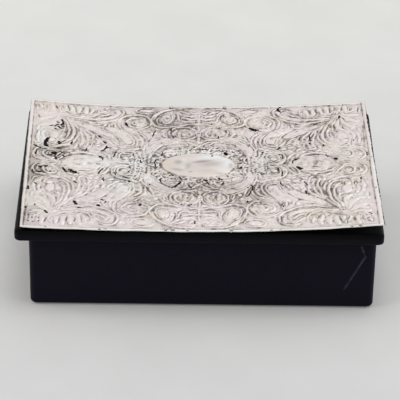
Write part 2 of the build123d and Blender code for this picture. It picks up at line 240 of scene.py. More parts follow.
# The leather on the box
# One skin of near-black navy goatskin pasted over the walls and turned in at the rim and under the base.
# It is matt, with a fine pebble, rubbed a little paler along its edges, and scratched near its right end.


def leather_skin():
    """Pebbled grain with fine creases, as a colour and a height. Worn is 1 where the skin is rubbed."""
    plain = {"Skin": (0.05, 0.05, 0.07, 1), "Rubbed": (0.1, 0.1, 0.13, 1), "Worn": 0.0}
    tree, given, out = new_effect("pebbled skin", plain, ("Colour", "Height", "Rub"))
    place = given["Place"]
    waver = (0.0005, 0.0005, 0.0005)
    shifted = vector(tree, "MULTIPLY_ADD", noise(tree, place, 700, 2), waver, place)[0]
    cells = {"Vector": shifted, "Scale": 1700, "Randomness": 0.9}
    pebbles = shade(tree, "TexVoronoi", cells, feature="DISTANCE_TO_EDGE")["Distance"]
    creases = spread(tree, pebbles, 0.0, 0.16)
    fine = noise(tree, place, 5200, 3, 0.6)
    handled = spread(tree, noise(tree, place, 70, 4), 0.48, 0.75, 0, 0.5)
    patchy = spread(tree, noise(tree, place, 420, 5, 0.65), 0.4, 0.62)
    patchy = math(tree, "MULTIPLY_ADD", patchy, 0.7, 0.3)
    worn = math(tree, "MULTIPLY", given["Worn"], patchy, clamp=True)
    rub = math(tree, "MULTIPLY_ADD", handled, 0.25, worn, clamp=True)
    skin = blend_colour(tree, rub, given["Skin"], given["Rubbed"])
    # Painted shade: the skin is darkened toward near-black in the creases between its pebbles.
    depth = spread(tree, creases, 0, 1, 0.45, 0)
    feed(tree, out, {
        "Colour": blend_colour(tree, depth, skin, (0.002, 0.002, 0.003, 1)),
        "Height": math(tree, "MULTIPLY_ADD", fine, 0.35, creases),
        "Rub": rub,
    })
    return tree


def rubbed_edges():
    """1 on the outer edges of a box between two corners, falling to 0 over a width."""
    plain = {"Low corner": (0, 0, 0), "High corner": (0, 0, 0), "Width": 0.001}
    tree, given, out = new_effect("rubbed edges", plain, ("Edge",))
    from_low = vector(tree, "SUBTRACT", given["Place"], given["Low corner"])[0]
    from_high = vector(tree, "SUBTRACT", given["High corner"], given["Place"])[0]
    depth = vector(tree, "MINIMUM", from_low, from_high)[0]
    x, y, z = apart(tree, depth)
    least = math(tree, "MINIMUM", x, y)
    larger = math(tree, "MINIMUM", math(tree, "MAXIMUM", x, y), z)
    second = math(tree, "MAXIMUM", least, larger)
    feed(tree, out, {"Edge": spread(tree, second, 0.0, given["Width"], 1.0, 0.0, "SMOOTHSTEP")})
    return tree


pebbled_skin = leather_skin()
edge_rub = rubbed_edges()


def scratch(tree, place, start, end):
    """1 along a thin line between two points, wavering a little."""
    waver, core, width = 0.0005, 0.00025, 0.00045
    span = Vector(end) - Vector(start)
    offset = vector(tree, "SUBTRACT", place, start)[0]
    reach = vector(tree, "DOT_PRODUCT", offset, span / span.length_squared)["Value"]
    share = math(tree, "MAXIMUM", math(tree, "MINIMUM", reach, 1.0), 0.0)
    nearest = shade(tree, "VectorMath", {0: span, "Scale": share}, operation="SCALE")[0]
    gap = vector(tree, "DISTANCE", offset, nearest)["Value"]
    gap = math(tree, "MULTIPLY_ADD", noise(tree, place, 900, 3), waver, gap)
    return spread(tree, gap, core, core + width, 1.0, 0.0)


def leather_finish(name, skin, rubbed, node_name, edge_width, scratches=(), painted_shade_depth=0):
    finish, tree, surface, place = new_finish(name, {"Specular IOR Level": 0.06})
    low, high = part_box(node_name)
    corners = {"Place": place, "Low corner": low, "High corner": high, "Width": edge_width}
    worn = shade(tree, "Group", corners, node_tree=edge_rub)["Edge"]
    inputs = {"Place": place, "Skin": skin, "Rubbed": rubbed, "Worn": worn}
    grain = shade(tree, "Group", inputs, node_tree=pebbled_skin)
    colour, height = grain["Colour"], grain["Height"]
    lines = [scratch(tree, place, start, end) for start, end in scratches]
    if lines:
        line = lines[0]
        for other in lines[1:]:
            line = math(tree, "MAXIMUM", line, other)
        broken = spread(tree, noise(tree, place, 520, 3, 0.6), 0.35, 0.55, 0.3, 1.0)
        line = math(tree, "MULTIPLY", line, broken)
        colour = blend_colour(tree, line, colour, (0.042, 0.040, 0.062, 1))
        height = math(tree, "MULTIPLY_ADD", line, -0.6, height)
    if painted_shade_depth:
        # Painted shade: the leather darkens toward its top, where the silver sheet overhangs and shades it.
        upward = apart(tree, place)["Z"]
        painted_sheet_shade = spread(tree, upward, high.z - painted_shade_depth, high.z - 0.0003, 0, 0.92)
        colour = blend_colour(tree, painted_sheet_shade, colour, (0.0003, 0.0003, 0.0005, 1))
    cover(tree, surface, colour, spread(tree, grain["Rub"], 0, 1, 0.5, 0.36), height, 0.00005, 0.5)
    return finish


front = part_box("body_leather")[0].y
scratch_top, scratch_end = (0.0450, front, 0.0206), (0.0409, front, 0.0066)
scratch_bend = (0.0462, front, 0.0173)
box_leather = leather_finish(
    "box leather", (0.0060, 0.0055, 0.0122, 1), (0.010, 0.009, 0.016, 1), "body_leather", 0.0012,
    scratches=((scratch_top, scratch_bend), (scratch_bend, scratch_end)),
)
dress(box_leather, "body_leather")

# The baize under the box
# A flat panel of green baize glued inside the leather's turned-in edge, and thicker, so the box stands on it.
sheen = {"Sheen Weight": 0.5, "Sheen Roughness": 0.5}
baize, tree, surface, place = new_finish("green baize", sheen)
nap = noise(tree, place, 2600, 6, 0.75)
tufts = noise(tree, place, 420, 4, 0.6)
colour = blend_colour(tree, spread(tree, nap, 0.3, 0.7), (0.05, 0.10, 0.07, 1), (0.13, 0.21, 0.16, 1))
colour = blend_colour(tree, spread(tree, tufts, 0.45, 0.7, 0, 0.5), colour, (0.15, 0.20, 0.15, 1))
cover(tree, surface, colour, 0.95, nap, 0.0002, 0.8)
dress(baize, "base_panel")

# The two hinges
# Small brass butt hinges with three knuckles each, filed, lightly lacquered and gone brown in places.


def metal_wear():
    """Filing marks, tarnish and dark specks on small metal parts."""
    plain = {"Bright": (0.8, 0.6, 0.3, 1), "Tarnish": (0.3, 0.2, 0.1, 1), "Amount": 0.5}
    tree, given, out = new_effect("metal wear", plain, ("Colour", "Roughness", "Height"))
    place = given["Place"]
    files = noise(tree, place, 2400, 3, 0.6, (0.06, 1, 1))
    stain = spread(tree, noise(tree, place, 650, 5, 0.65), 0.42, 0.68)
    stain = math(tree, "MULTIPLY", stain, given["Amount"], clamp=True)
    specks = spread(tree, noise(tree, place, 3000, 2), 0.66, 0.74)
    mask = math(tree, "MULTIPLY_ADD", specks, 0.4, stain, clamp=True)
    feed(tree, out, {
        "Colour": blend_colour(tree, mask, given["Bright"], given["Tarnish"]),
        "Roughness": math(tree, "MULTIPLY_ADD", mask, 0.28, spread(tree, files, 0.3, 0.7, 0.2, 0.34)),
        "Height": files,
    })
    return tree


worn_metal = metal_wear()


def metal_finish(name, bright, tarnish, amount):
    finish, tree, surface, place = new_finish(name, {"Metallic": 1.0})
    inputs = {"Place": place, "Bright": bright, "Tarnish": tarnish, "Amount": amount}
    wear = shade(tree, "Group", inputs, node_tree=worn_metal)
    cover(tree, surface, wear["Colour"], wear["Roughness"], wear["Height"], 0.00001, 0.35)
    return finish


hinge_brass = metal_finish("hinge brass", (0.76, 0.58, 0.28, 1), (0.35, 0.22, 0.09, 1), 0.6)
pin_brass = metal_finish("hinge pin brass", (0.80, 0.62, 0.33, 1), (0.40, 0.27, 0.12, 1), 0.35)
screw_brass = metal_finish("hinge screw brass", (0.70, 0.52, 0.25, 1), (0.25, 0.15, 0.06, 1), 0.8)
for side in ("left", "right"):
    dress(hinge_brass, "lower_hinge_leaf_" + side, "upper_hinge_leaf_" + side)
    dress(pin_brass, "hinge_pin_" + side)
dress(screw_brass, "lower_hinge_screws", "upper_hinge_screws")

# The lid's board
# A single board of the same wood, hidden by the leather and the lining but for a little at the hinges.
dress(board_wood, "lid_board")

# The leather on the lid
# The same skin as on the box, wrapped round the board's edges and turned in underneath. Near the top
# it is painted darker, as the shade under the silver sheet.
lid_skin = leather_finish(
    "lid leather", (0.0050, 0.0048, 0.0080, 1), (0.009, 0.009, 0.014, 1), "lid_leather", 0.0010,
    painted_shade_depth=0.0020,
)
dress(lid_skin, "lid_leather")

# The lining under the lid
# A panel of the same watered silk, pasted to the board inside the leather's turned-in edge.
lid_silk = silk_finish("lid silk", (0.82, 0.76, 0.64, 1), (0.68, 0.60, 0.47, 1))
dress(lid_silk, "lid_lining")

# The silver sheet
# Thin silver pressed in a die into mirrored scrolls and leaves round a plain oval, and nailed to the lid.
# It has pulled off most of its nails and curled up at both ends, and is tarnished in its hollows.
thickness = 0.35
lid_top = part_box("lid_leather")[1].z / mm
sheet_low, sheet_high = (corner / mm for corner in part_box("silver_plate"))
middle_x, middle_y = (sheet_low.x + sheet_high.x) / 2, (sheet_low.y + sheet_high.y) / 2
reach_x, reach_y = (sheet_high.x - sheet_low.x) / 2, (sheet_high.y - sheet_low.y) / 2
flat_left, flat_right = -0.2 * reach_x, -0.1 * reach_x
front_lifts = (0.9, 0.0, 3.0)
back_lifts = (2.5, 0.5, 2.9)

# One quarter of the die, in millimetres outward from the middle and toward the front. A call gives the
# shape of its strokes, whose last numbers may be left out, and then each stroke's points in tenths.
die_long, die_wide = 50.0, 34.0
cell = 0.125
die_start = -2.0
columns, rows = int(54 / cell) + 1, int(39 / cell) + 1
grid_x = die_start + cell * np.arange(columns)
grid_y = die_start + cell * np.arange(rows)
raised = np.zeros((rows, columns))
sunk = np.zeros((rows, columns))


def tenths(line):
    """Points given as x, y, x, y and so on in tenths of a millimetre."""
    return np.reshape(line, (-1, 2)) / 10


def smooth_line(p):
    """A curve through points, in steps of about a tenth of a millimetre."""
    p = np.vstack([2 * p[0] - p[1], p, 2 * p[-1] - p[-2]])
    runs = []
    for a, b, c, d in zip(p, p[1:], p[2:], p[3:]):
        count = max(3, int(np.hypot(*(c - b)) / 0.1))
        t = np.linspace(0, 1, count, endpoint=False)[:, None]
        square, cube = 2 * a - 5 * b + 4 * c - d, 3 * b - a - 3 * c + d
        runs.append(0.5 * (2 * b + (c - a) * t + square * t**2 + cube * t**3))
    return np.vstack(runs + [p[-2:-1]])


def span(place, reach, count):
    """The die's cells within reach of a place, along one side."""
    first, last = (int((end - die_start) / cell) for end in (place - reach, place + reach))
    return slice(max(0, first), min(count, max(0, last + 2)))


def press(field, x, y, long, wide, height, turn=0.0, power=0.5):
    """A rounded oval form, kept where it passes what is already there."""
    i, j = span(x, max(long, wide), columns), span(y, max(long, wide), rows)
    dx, dy = grid_x[None, i] - x, grid_y[j, None] - y
    u, v = dx * np.cos(turn) + dy * np.sin(turn), dy * np.cos(turn) - dx * np.sin(turn)
    form = height * np.clip(1 - (u / long) ** 2 - (v / wide) ** 2, 0, 1) ** power
    np.maximum(field[j, i], form, out=field[j, i])


def draw(field, shape, lines):
    """Strokes of one shape: their width, height, share of the width at the start and end, and roundness."""
    width, height, start, end, power = shape
    for line in lines:
        line = smooth_line(line)
        swell = np.interp(np.linspace(0, 1, len(line)), [0, 0.3, 0.7, 1], [start, 1, 1, end])
        for (x, y), s in zip(line, swell):
            press(field, x, y, width / 2 * s, width / 2 * s, height * s**0.5, 0, power)


def ridges(shape, *lines):
    """Narrow raised strokes."""
    draw(raised, shape + (0.5, 0.3, 0.5)[len(shape) - 2:], map(tenths, lines))


def grooves(shape, *lines):
    """Strokes cut into the forms."""
    draw(sunk, shape + (0.3, 0.3)[len(shape) - 2:] + (1.0,), map(tenths, lines))


def bodies(shape, *lines):
    """Broad strokes that carry the narrow ones."""
    draw(raised, shape + (0.6, 0.6)[len(shape) - 2:] + (0.35,), map(tenths, lines))


def ring(shape, x, y, long, wide, start=0, end=360):
    """A ridge along an oval, between two angles."""
    a = np.radians(np.linspace(start, end, 24))
    draw(raised, shape + (0.5,), [np.column_stack([x + long * np.cos(a), y + wide * np.sin(a)])])


def boss(*form):
    """A single raised oval."""
    press(raised, *form)


def soften(field, reach):
    """The field blurred over a reach, by running means along each side in turn."""
    n = max(1, int(round(reach / cell)))
    for axis in (0, 1, 0, 1):
        padded = np.pad(field, [(n + 1, n) if a == axis else (0, 0) for a in (0, 1)], mode="edge")
        total = np.cumsum(padded, axis)
        a = np.take(total, range(2 * n + 1, total.shape[axis]), axis)
        b = np.take(total, range(0, total.shape[axis] - 2 * n - 1), axis)
        field = (a - b) / (2 * n + 1)
    return field


# Small crumpled leaves around the oval
loose = np.random.default_rng(5).uniform
for k in range(170):
    a, out = np.radians(loose(-5, 95)), loose(0.0, 1.0)
    x, y = (11.4 + 2.6 * out) * np.cos(a), (7.2 + 3.9 * out) * np.sin(a)
    boss(x, y, loose(0.4, 1.1), loose(0.22, 0.42), loose(0.25, 0.55), a + loose(-1.4, 1.4))
for k in range(70):
    a, out = np.radians(loose(-5, 95)), loose(0.0, 0.9)
    x, y = (11.3 + 2.6 * out) * np.cos(a), (7.1 + 3.9 * out) * np.sin(a)
    press(sunk, x, y, 0.45, 0.26, loose(0.15, 0.4), loose(0, 3))

# Band around the ring
ridges((0.45, 0.4, 0.5, 0.5), (136, 52, 126, 82, 106, 104, 76, 119, 42, 126))
bodies((3.0, 0.34), (149, 56, 139, 90, 118, 118, 89, 136, 60, 144))
ridges((0.6, 0.5, 0.5, 0.5), (164, 52, 160, 80, 150, 106, 133, 130, 109, 149, 84, 159))
ridges((0.5, 0.45), (119, 96, 98, 116, 68, 130, 42, 136))
grooves((0.35, 0.2), (145, 92, 128, 116, 104, 134), (153, 104, 136, 128, 116, 144))
grooves((0.3, 0.12), (134, 89, 116, 112, 92, 127))
# Strokes beside the ring on the long axis
ridges(
    (0.8, 0.18, 0.5, 0.5, 0.9), (133, -4, 134, 12, 131, 26), (144, 3, 145, 18, 142, 34),
    (155, -3, 156, 14, 154, 26), (166, 4, 168, 20, 165, 36), (149, 38, 148, 48, 143, 60),
    (160, 42, 160, 52, 158, 62), (178, -3, 182, 14, 179, 32), (173, 46, 174, 58, 170, 70),
    (186, 46, 187, 56, 184, 68),
)
for k in range(60):
    boss(loose(13, 20), loose(-0.5, 8), loose(0.4, 1.0), loose(0.22, 0.4), loose(0.25, 0.5), loose(0, 3))
# C curl
bodies((1.5, 0.3), (200, 10, 225, 8, 240, 25, 240, 50, 225, 66, 200, 75, 175, 86))
ridges((0.6, 0.6, 0.4, 0.5), (198, 9, 225, 5, 244, 23, 245, 50, 229, 69, 200, 79, 175, 90))
ridges((0.6, 0.5, 0.4, 0.6), (194, 43, 204, 56, 222, 54, 231, 39, 227, 22, 213, 16, 203, 24))
ridges((0.6, 0.4), (186, 63, 198, 64, 214, 66))
boss(21.3, 3.1, 0.9, 0.8, 0.55)
# Bud on the long axis
bodies((6.6, 0.35, 0.4, 0.3), (265, 3, 300, 7, 340, 9, 380, 4))
ridges((0.8, 0.6), (263, 6, 285, 34, 310, 49, 350, 51, 380, 37, 400, 12))
ridges((0.6, 0.42, 0.5, 0.3, 0.8), (285, 18, 310, 33, 350, 36, 383, 23))
grooves((0.8, 0.5), (279, 21, 292, 47))
ridges((0.7, 0.45), (254, 24, 263, 46, 283, 61))
ridges((0.5, 0.35), (262, 18, 273, 40))
boss(34.0, 0.0, 5.0, 1.8, 0.55, 0, 0.9)
# Side curls
ridges((0.7, 0.5), (452, 8, 468, 18, 476, 40, 469, 62, 452, 70, 434, 72, 410, 71))
ridges((0.6, 0.5), (448, 30, 459, 34, 461, 47, 452, 56))
ridges((0.7, 0.4), (404, 5, 415, 12, 434, 10))
ridges((0.6, 0.45), (386, 63, 397, 44, 412, 22, 436, 4))
ring((0.7, 0.55, 0.6, 0.4), 42.3, 4.3, 2.1, 2.1, -150, 160)
ring((0.6, 0.45, 0.6, 0.6), 42.3, 4.3, 1.0, 1.0, -100, 180)
boss(42.3, 4.3, 0.6, 0.6, 0.5)
# Arch and crescents of the shell of leaves
ridges((0.7, 0.5), (365, 110, 374, 94, 393, 83, 420, 79, 445, 85))
ridges(
    (0.75, 0.6, 0.5, 0.4),
    (390, 248, 382, 230, 360, 198, 349, 168, 349, 138, 358, 110, 374, 94, 396, 86, 420, 86, 434, 97,
     435, 112),
    (398, 235, 385, 202, 377, 170, 378, 143, 387, 123, 400, 112),
)
grooves((0.5, 0.3), (439, 88, 442, 102, 439, 120))
ridges((0.95, 0.65, 0.5, 0.4), (395, 242, 375, 206, 364, 173, 362, 142, 370, 117, 383, 103, 402, 99))
ridges((0.5, 0.45, 0.5, 0.4), (400, 243, 393, 203, 391, 173, 396, 148))
bodies((2.6, 0.42), (416, 128, 418, 152))
grooves((0.35, 0.5), (356, 192, 347, 160, 348, 132))
boss(42.2, 11.4, 1.0, 0.9, 0.6)
# Soft leaf inside the crescents, and the strokes that open into the corner
ridges((1.4, 0.36, 0.5, 0.8, 1.1), (407, 236, 403, 212, 409, 186, 426, 172))
ridges((1.7, 0.32, 0.5, 0.8, 1.1), (413, 244, 422, 216, 442, 194, 458, 189))
ridges((1.7, 0.28, 0.5, 0.8, 1.1), (419, 254, 436, 236, 459, 226, 470, 228))
ridges((1.6, 0.3, 0.5, 0.8, 1.1), (422, 264, 444, 258, 469, 262))
ridges((1.3, 0.36, 0.5, 0.8, 1.1), (462, 104, 466, 126, 462, 154))
ridges((1.2, 0.36, 0.5, 0.8, 1.1), (447, 122, 450, 144, 444, 162))
ridges((1.1, 0.34, 0.5, 0.8, 1.1), (469, 166, 466, 186))
ridges((0.6, 0.45), (389, 178, 396, 167, 409, 160, 423, 160))
grooves((0.6, 0.35), (401, 180, 396, 198, 397, 220))
grooves((0.5, 0.2), (422, 182, 416, 202))
ridges((0.7, 0.42, 0.4, 0.6, 0.8), (424, 269, 442, 277, 455, 289, 456, 309))
ridges((0.6, 0.45, 0.6, 0.5), (404, 269, 412, 284, 411, 300, 406, 312))
grooves((0.7, 0.3), (419, 286, 423, 312))
ridges((0.6, 0.4), (450, 92, 466, 87, 473, 100))
# Lower C scroll
bodies((1.5, 0.28), (380, 247, 330, 244, 292, 246, 258, 261, 238, 286, 240, 302))
ridges(
    (0.75, 0.6, 0.4, 0.6),
    (390, 243, 360, 234, 324, 224, 292, 225, 264, 236, 240, 252, 226, 272, 222, 292, 230, 308, 246, 315,
     264, 315, 279, 307),
)
ridges(
    (0.7, 0.55, 0.4, 0.5),
    (366, 249, 326, 242, 296, 245, 270, 254, 252, 269, 243, 286, 249, 301, 262, 304),
)
grooves((0.55, 0.35), (253, 266, 244, 282, 253, 296))
ridges((0.9, 0.42, 0.5, 0.4, 0.8), (260, 288, 276, 270, 298, 262))
ridges((0.8, 0.4, 0.5, 0.4, 0.8), (273, 299, 286, 285, 298, 278))
grooves((0.4, 0.2), (272, 263, 286, 260))
# Flutes under the scroll
ridges((0.6, 0.55), (299, 300, 299, 280, 307, 264, 324, 255, 350, 254, 380, 260, 404, 274))
grooves((0.4, 0.4), (356, 264, 376, 266, 388, 272, 402, 282))
ridges((0.5, 0.3), (332, 249, 346, 264, 349, 274))
for x0, y0, x1, y1, wide, high in (
    (322, 272, 312, 304, 1.1, 0.45), (338, 274, 333, 312, 1.6, 0.5), (358, 277, 356, 313, 1.5, 0.45),
    (377, 282, 379, 316, 1.7, 0.48), (394, 284, 397, 313, 1.2, 0.45), (432, 284, 435, 319, 1.5, 0.42),
    (463, 287, 469, 314, 1.2, 0.34), (476, 272, 479, 298, 0.8, 0.26),
):
    ridges((wide, high, 0.7, 0.8, 0.9), (x0, y0, (x0 + x1) / 2 - 2, (y0 + y1) / 2, x1, y1))
for x0, x1, low in ((329, 322, 0.3), (348, 344, 0.3), (367, 367, 0.25), (386, 388, 0.25), (449, 449, 0.2)):
    grooves((0.5, low), (x0, 276, x0 - 3, 288, x1, 306))
# Spiral scroll
ridges(
    (0.75, 0.55, 0.8, 0.5),
    (228, 196, 236, 216, 236, 240, 224, 259, 202, 272, 172, 275, 148, 262, 137, 242, 139, 219, 154, 202,
     174, 195, 192, 198),
)
ridges(
    (0.8, 0.5, 0.5, 0.6, 0.6),
    (162, 209, 179, 204, 200, 209, 212, 226, 208, 244, 192, 255, 172, 252, 164, 238),
)
ridges((0.7, 0.45, 0.6, 0.6, 0.6), (178, 219, 190, 218, 195, 230, 186, 240, 176, 236))
grooves((0.5, 0.32), (164, 202, 180, 198, 199, 203))
grooves((0.4, 0.3), (188, 222, 190, 232), (146, 240, 152, 253))
grooves((0.4, 0.25), (226, 206, 229, 224, 225, 244))
boss(18.2, 23.0, 3.6, 3.0, 0.15, 0, 0.8)
# Stem
ridges(
    (0.6, 0.5, 0.8, 0.5),
    (228, 196, 218, 182, 205, 164, 194, 144, 189, 124, 192, 108, 204, 99, 222, 100, 229, 110),
)
# Bundle
ridges((0.7, 0.42, 0.5, 0.4, 0.8), (183, 94, 178, 112, 179, 134, 189, 156, 204, 176))
ridges((0.8, 0.38, 0.5, 0.4, 0.8), (165, 99, 162, 120, 165, 142, 176, 160, 192, 169))
ridges((0.7, 0.36, 0.5, 0.4, 0.8), (152, 114, 150, 134, 156, 154, 169, 170))
ridges((0.7, 0.36, 0.5, 0.5, 0.8), (138, 120, 133, 140, 126, 158))
ridges((0.6, 0.4, 0.5, 0.5, 0.8), (164, 172, 174, 186, 186, 189))
grooves((0.5, 0.3), (144, 99, 145, 116, 140, 136, 131, 158))
grooves((0.35, 0.18), (172, 110, 170, 126, 175, 146))
grooves((0.35, 0.2), (159, 152, 172, 163, 190, 166))
boss(16.9, 13.2, 0.7, 1.0, 0.36, 0.3, 0.8)
boss(11.4, 15.6, 0.8, 0.6, 0.36, 0.5, 0.8)
boss(12.2, 17.6, 0.6, 0.9, 0.34, 0.2, 0.8)
boss(14.2, 18.4, 0.9, 0.6, 0.34, -0.4, 0.8)
# Tongue
bodies((3.6, 0.45, 0.75, 0.5), (206, 122, 216, 150, 238, 176, 268, 192))
bodies((2.8, 0.32, 0.6, 0.4), (256, 146, 278, 168, 310, 186, 346, 206))
ridges((0.5, 0.5, 0.6, 0.3, 0.8), (220, 104, 228, 128, 240, 150, 256, 172))
ridges((0.5, 0.45, 0.5, 0.3, 0.8), (250, 126, 270, 142, 296, 162, 324, 182))
grooves((0.5, 0.28), (274, 140, 286, 149, 294, 156))
# Small curls under the tongue
ridges((0.8, 0.42, 0.5, 0.6, 0.8), (239, 194, 247, 208, 246, 222), (254, 188, 265, 198, 264, 214))
ridges((0.8, 0.34, 0.5, 0.4, 0.9), (274, 199, 296, 200, 322, 207))
ridges((0.7, 0.34, 0.5, 0.4, 0.9), (286, 214, 310, 216, 334, 224))
boss(27.6, 21.0, 0.6, 0.9, 0.36, 0.3, 0.8)
# Ragged leaflets over the tongue
ridges(
    (1.0, 0.5, 0.6, 0.4, 0.8), (236, 102, 246, 112, 252, 126), (255, 106, 264, 118, 270, 132),
    (275, 104, 283, 118, 289, 136), (292, 104, 290, 118, 296, 132),
)
ridges((0.5, 0.5), (290, 110, 272, 112, 254, 122))
grooves((0.5, 0.35), (299, 96, 304, 109))
grooves((0.7, 0.45), (298, 138, 300, 153))
# Fan
ridges(
    (0.8, 0.5, 0.3, 0.6, 0.7), (346, 190, 324, 170, 310, 152, 306, 124),
    (358, 198, 338, 172, 325, 148, 320, 122),
)
ridges((0.9, 0.55, 0.3, 0.5, 0.7), (369, 208, 350, 180, 338, 148, 333, 114, 336, 88))
ridges((0.6, 0.55), (306, 104, 311, 82, 324, 72, 338, 82, 338, 102))
ridges((0.7, 0.45), (318, 112, 322, 94))
grooves((0.4, 0.3), (332, 124, 335, 148, 342, 166))
press(sunk, 31.2, 13.5, 0.4, 0.5, 0.4)
# Small lumps between the bud and the fan
for x, y, long, wide, turn in (
    (24.6, 8.2, 1.2, 0.6, 0.4), (26.6, 7.3, 0.9, 0.5, -0.5), (26.9, 9.1, 1.1, 0.5, 0.2),
    (28.8, 7.6, 1.0, 0.5, 0.8), (29.0, 9.3, 0.8, 0.5, -0.7), (30.3, 6.4, 1.1, 0.5, 0.1),
    (32.6, 5.9, 1.0, 0.4, -0.3), (34.8, 6.5, 1.1, 0.5, 0.4), (35.2, 8.6, 0.6, 1.1, 0.3),
    (36.6, 6.2, 1.0, 0.5, -0.5), (22.9, 9.1, 0.9, 0.5, 0.6),
):
    boss(x, y, long, wide, 0.45, turn, 0.8)
# Rosette, small leaves in a ring
ridges((0.5, 0.4, 0.5, 0.5), (22, 206, 42, 213, 62, 207))
ridges((0.825, 0.36, 0.6, 0.5, 0.65), (24, 156, 21, 174, 29, 192), (68, 160, 69, 176, 61, 193))
ridges((0.75, 0.36, 0.6, 0.5, 0.65), (39, 149, 37, 166, 42, 182), (54, 150, 55, 166, 52, 184))
ridges((0.675, 0.36, 0.6, 0.5, 0.65), (34, 199, 45, 192, 56, 198))
grooves((0.6, 0.35), (10, 146, 7.5, 160, 9, 174))
grooves((0.5, 0.25), (83, 152, 86, 166, 83, 180))
grooves((0.5, 0.35), (32, 205, 46, 209, 56, 205))
grooves((0.4, 0.25), (47, 156, 46, 174))
ridges((0.7, 0.38, 0.9, 0.5), (0, 124, 0.5, 180, 0, 240, 0, 290))
grooves((0.4, 0.2), (8.5, 230, 7.5, 254))
ridges(
    (0.8, 0.38, 0.5, 0.6, 0.8), (9, 110, 19, 122, 34, 126), (30, 110, 42, 123, 56, 124),
    (54, 135, 66, 126, 80, 129), (12, 132, 22, 137, 36, 134), (89, 149, 99, 164, 97, 184),
    (86, 199, 97, 193, 106, 179), (96, 136, 106, 144, 110, 132),
)
boss(4.4, 17.5, 3.6, 3.5, 0.14, 0, 0.8)
ring((0.6, 0.52, 1, 1), 4.4, 17.5, 3.9, 3.6)
ring((0.55, 0.38, 0.6, 0.4), 4.4, 17.5, 2.3, 2.2, -200, 130)
for k in range(8):
    press(sunk, 0.0, 13.5 + 2.1 * k, 0.6, 0.3, 0.22)
# Double C
ridges(
    (0.75, 0.6, 0.7, 0.5),
    (0, 224, 30, 223, 60, 215, 94, 206, 118, 210, 133, 230, 133, 256, 122, 282, 100, 304, 70, 317,
     32, 320, 12, 310),
)
ridges((1.1, 0.55, 0.5, 0.6, 0.9), (128, 246, 124, 268, 110, 290, 86, 308))
ridges((0.5, 0.4, 0.5, 0.5, 0.8), (103, 222, 116, 230, 119, 248, 112, 270, 96, 288))
ridges((0.6, 0.5, 0.4, 0.6, 0.8), (82, 284, 76, 264, 79, 242, 93, 230, 104, 240, 104, 258, 96, 268))
grooves((0.55, 0.4), (70, 240, 66, 260, 67, 278, 76, 292))
grooves((0.4, 0.3), (119, 258, 113, 276, 102, 292))
ridges((0.7, 0.5, 0.6, 0.5, 0.7), (64, 286, 57, 266, 54, 246, 40, 239, 18, 240, 4, 244))
ridges((1.1, 0.42, 0.6, 0.7, 0.9), (5, 256, 22, 254, 42, 260))
ridges((1.0, 0.42, 0.6, 0.7, 0.9), (12, 274, 28, 270, 46, 278), (34, 286, 44, 296, 60, 302))
ridges((0.9, 0.42, 0.6, 0.7, 0.9), (6, 290, 18, 288, 26, 298))
ridges((0.8, 0.42, 0.6, 0.7, 0.9), (10, 304, 26, 309, 44, 308), (52, 276, 59, 290, 72, 300))
grooves((0.5, 0.25), (23, 264, 36, 267))
grooves((0.4, 0.25), (32, 280, 22, 283))
boss(9.4, 25.2, 2.1, 2.7, 0.32, 0, 0.8)
# Bean
ridges((0.4, 0.3), (0, 330, 40, 331, 80, 329, 120, 316))
ring((0.5, 0.42, 0.6, 0.6), 15.3, 30.2, 3.2, 1.8, -170, 175)
boss(15.4, 30.3, 2.2, 1.1, 0.34, 0, 0.8)
# Rim
ridges((1.6, 0.3, 1, 1), (-30, 338, 200, 338, 600, 338))
ridges((1.3, 0.32, 1, 1), (494.5, -30, 494.5, 200, 494.5, 600))
grooves((0.4, 0.08, 1, 1), (486.5, -30, 486.5, 400))

crisp, plump, cut = 0.55, 0.40, 0.7
relief = crisp * raised + plump * soften(raised, 0.9) - cut * sunk


def curled_height(x, lifts):
    """How high one edge of the sheet stands above the lid, at places along it."""
    def curl(reach, rise, along):
        radius = (reach**2 + rise**2) / (2 * rise)
        return radius - np.sqrt(radius**2 - np.clip(along, 0, reach) ** 2)

    left_end, flat, right_end = lifts
    to_left = curl(reach_x + flat_left, left_end - flat, flat_left - x)
    to_right = curl(reach_x - flat_right, right_end - flat, x - flat_right)
    return flat + to_left + to_right


def look_up(field, u, v):
    """The die's value at places outward from the middle, between its cells."""
    u, v = (u - die_start) / cell, (v - die_start) / cell
    i, j = u.astype(int), v.astype(int)
    u, v = u - i, v - j
    first_row = field[j, i] * (1 - u) * (1 - v) + field[j, i + 1] * u * (1 - v)
    return first_row + field[j + 1, i] * (1 - u) * v + field[j + 1, i + 1] * u * v


def askew(x, y):
    """How far the hand-trimmed sheet's ends stand off their box, as a shift to the right."""
    left_slant, right_slant = 0.9, 1.3
    to_right, to_back = (x + reach_x) / (2 * reach_x), (y + reach_y) / (2 * reach_y)
    return left_slant * (1 - to_right) * (1 - to_back) - right_slant * to_right * to_back


pitch = 0.25
across, deep = int(2 * reach_x / pitch) + 1, int(2 * reach_y / pitch) + 1
x, y = np.meshgrid(np.linspace(-reach_x, reach_x, across), np.linspace(-reach_y, reach_y, deep))
half_printed, print_shift = 50.4, 0.4
die_x = x + askew(x, y) + middle_x - print_shift
swell_random = np.random.default_rng(3)


def wander(reach):
    """A smooth random swell over the sheet, with hills about as wide as the reach in millimetres."""
    swell = soften(swell_random.normal(size=x.shape), reach / 4)
    return swell / swell.std()


def patches(*spots):
    """Soft spots: place in millimetres from the back left corner, two reaches, amount and any turn."""
    field = np.zeros_like(x)
    for spot in spots:
        spot_x, spot_y, long, wide, amount, turn = (spot + (0,))[:6]
        dx = die_x + half_printed - spot_x * half_printed / die_long
        dy = spot_y * reach_y / die_wide - reach_y + y
        along, aside = dx * np.cos(turn) - dy * np.sin(turn), dy * np.cos(turn) + dx * np.sin(turn)
        field = np.maximum(field, amount * np.exp(-((along / long) ** 2) - (aside / wide) ** 2))
    return field


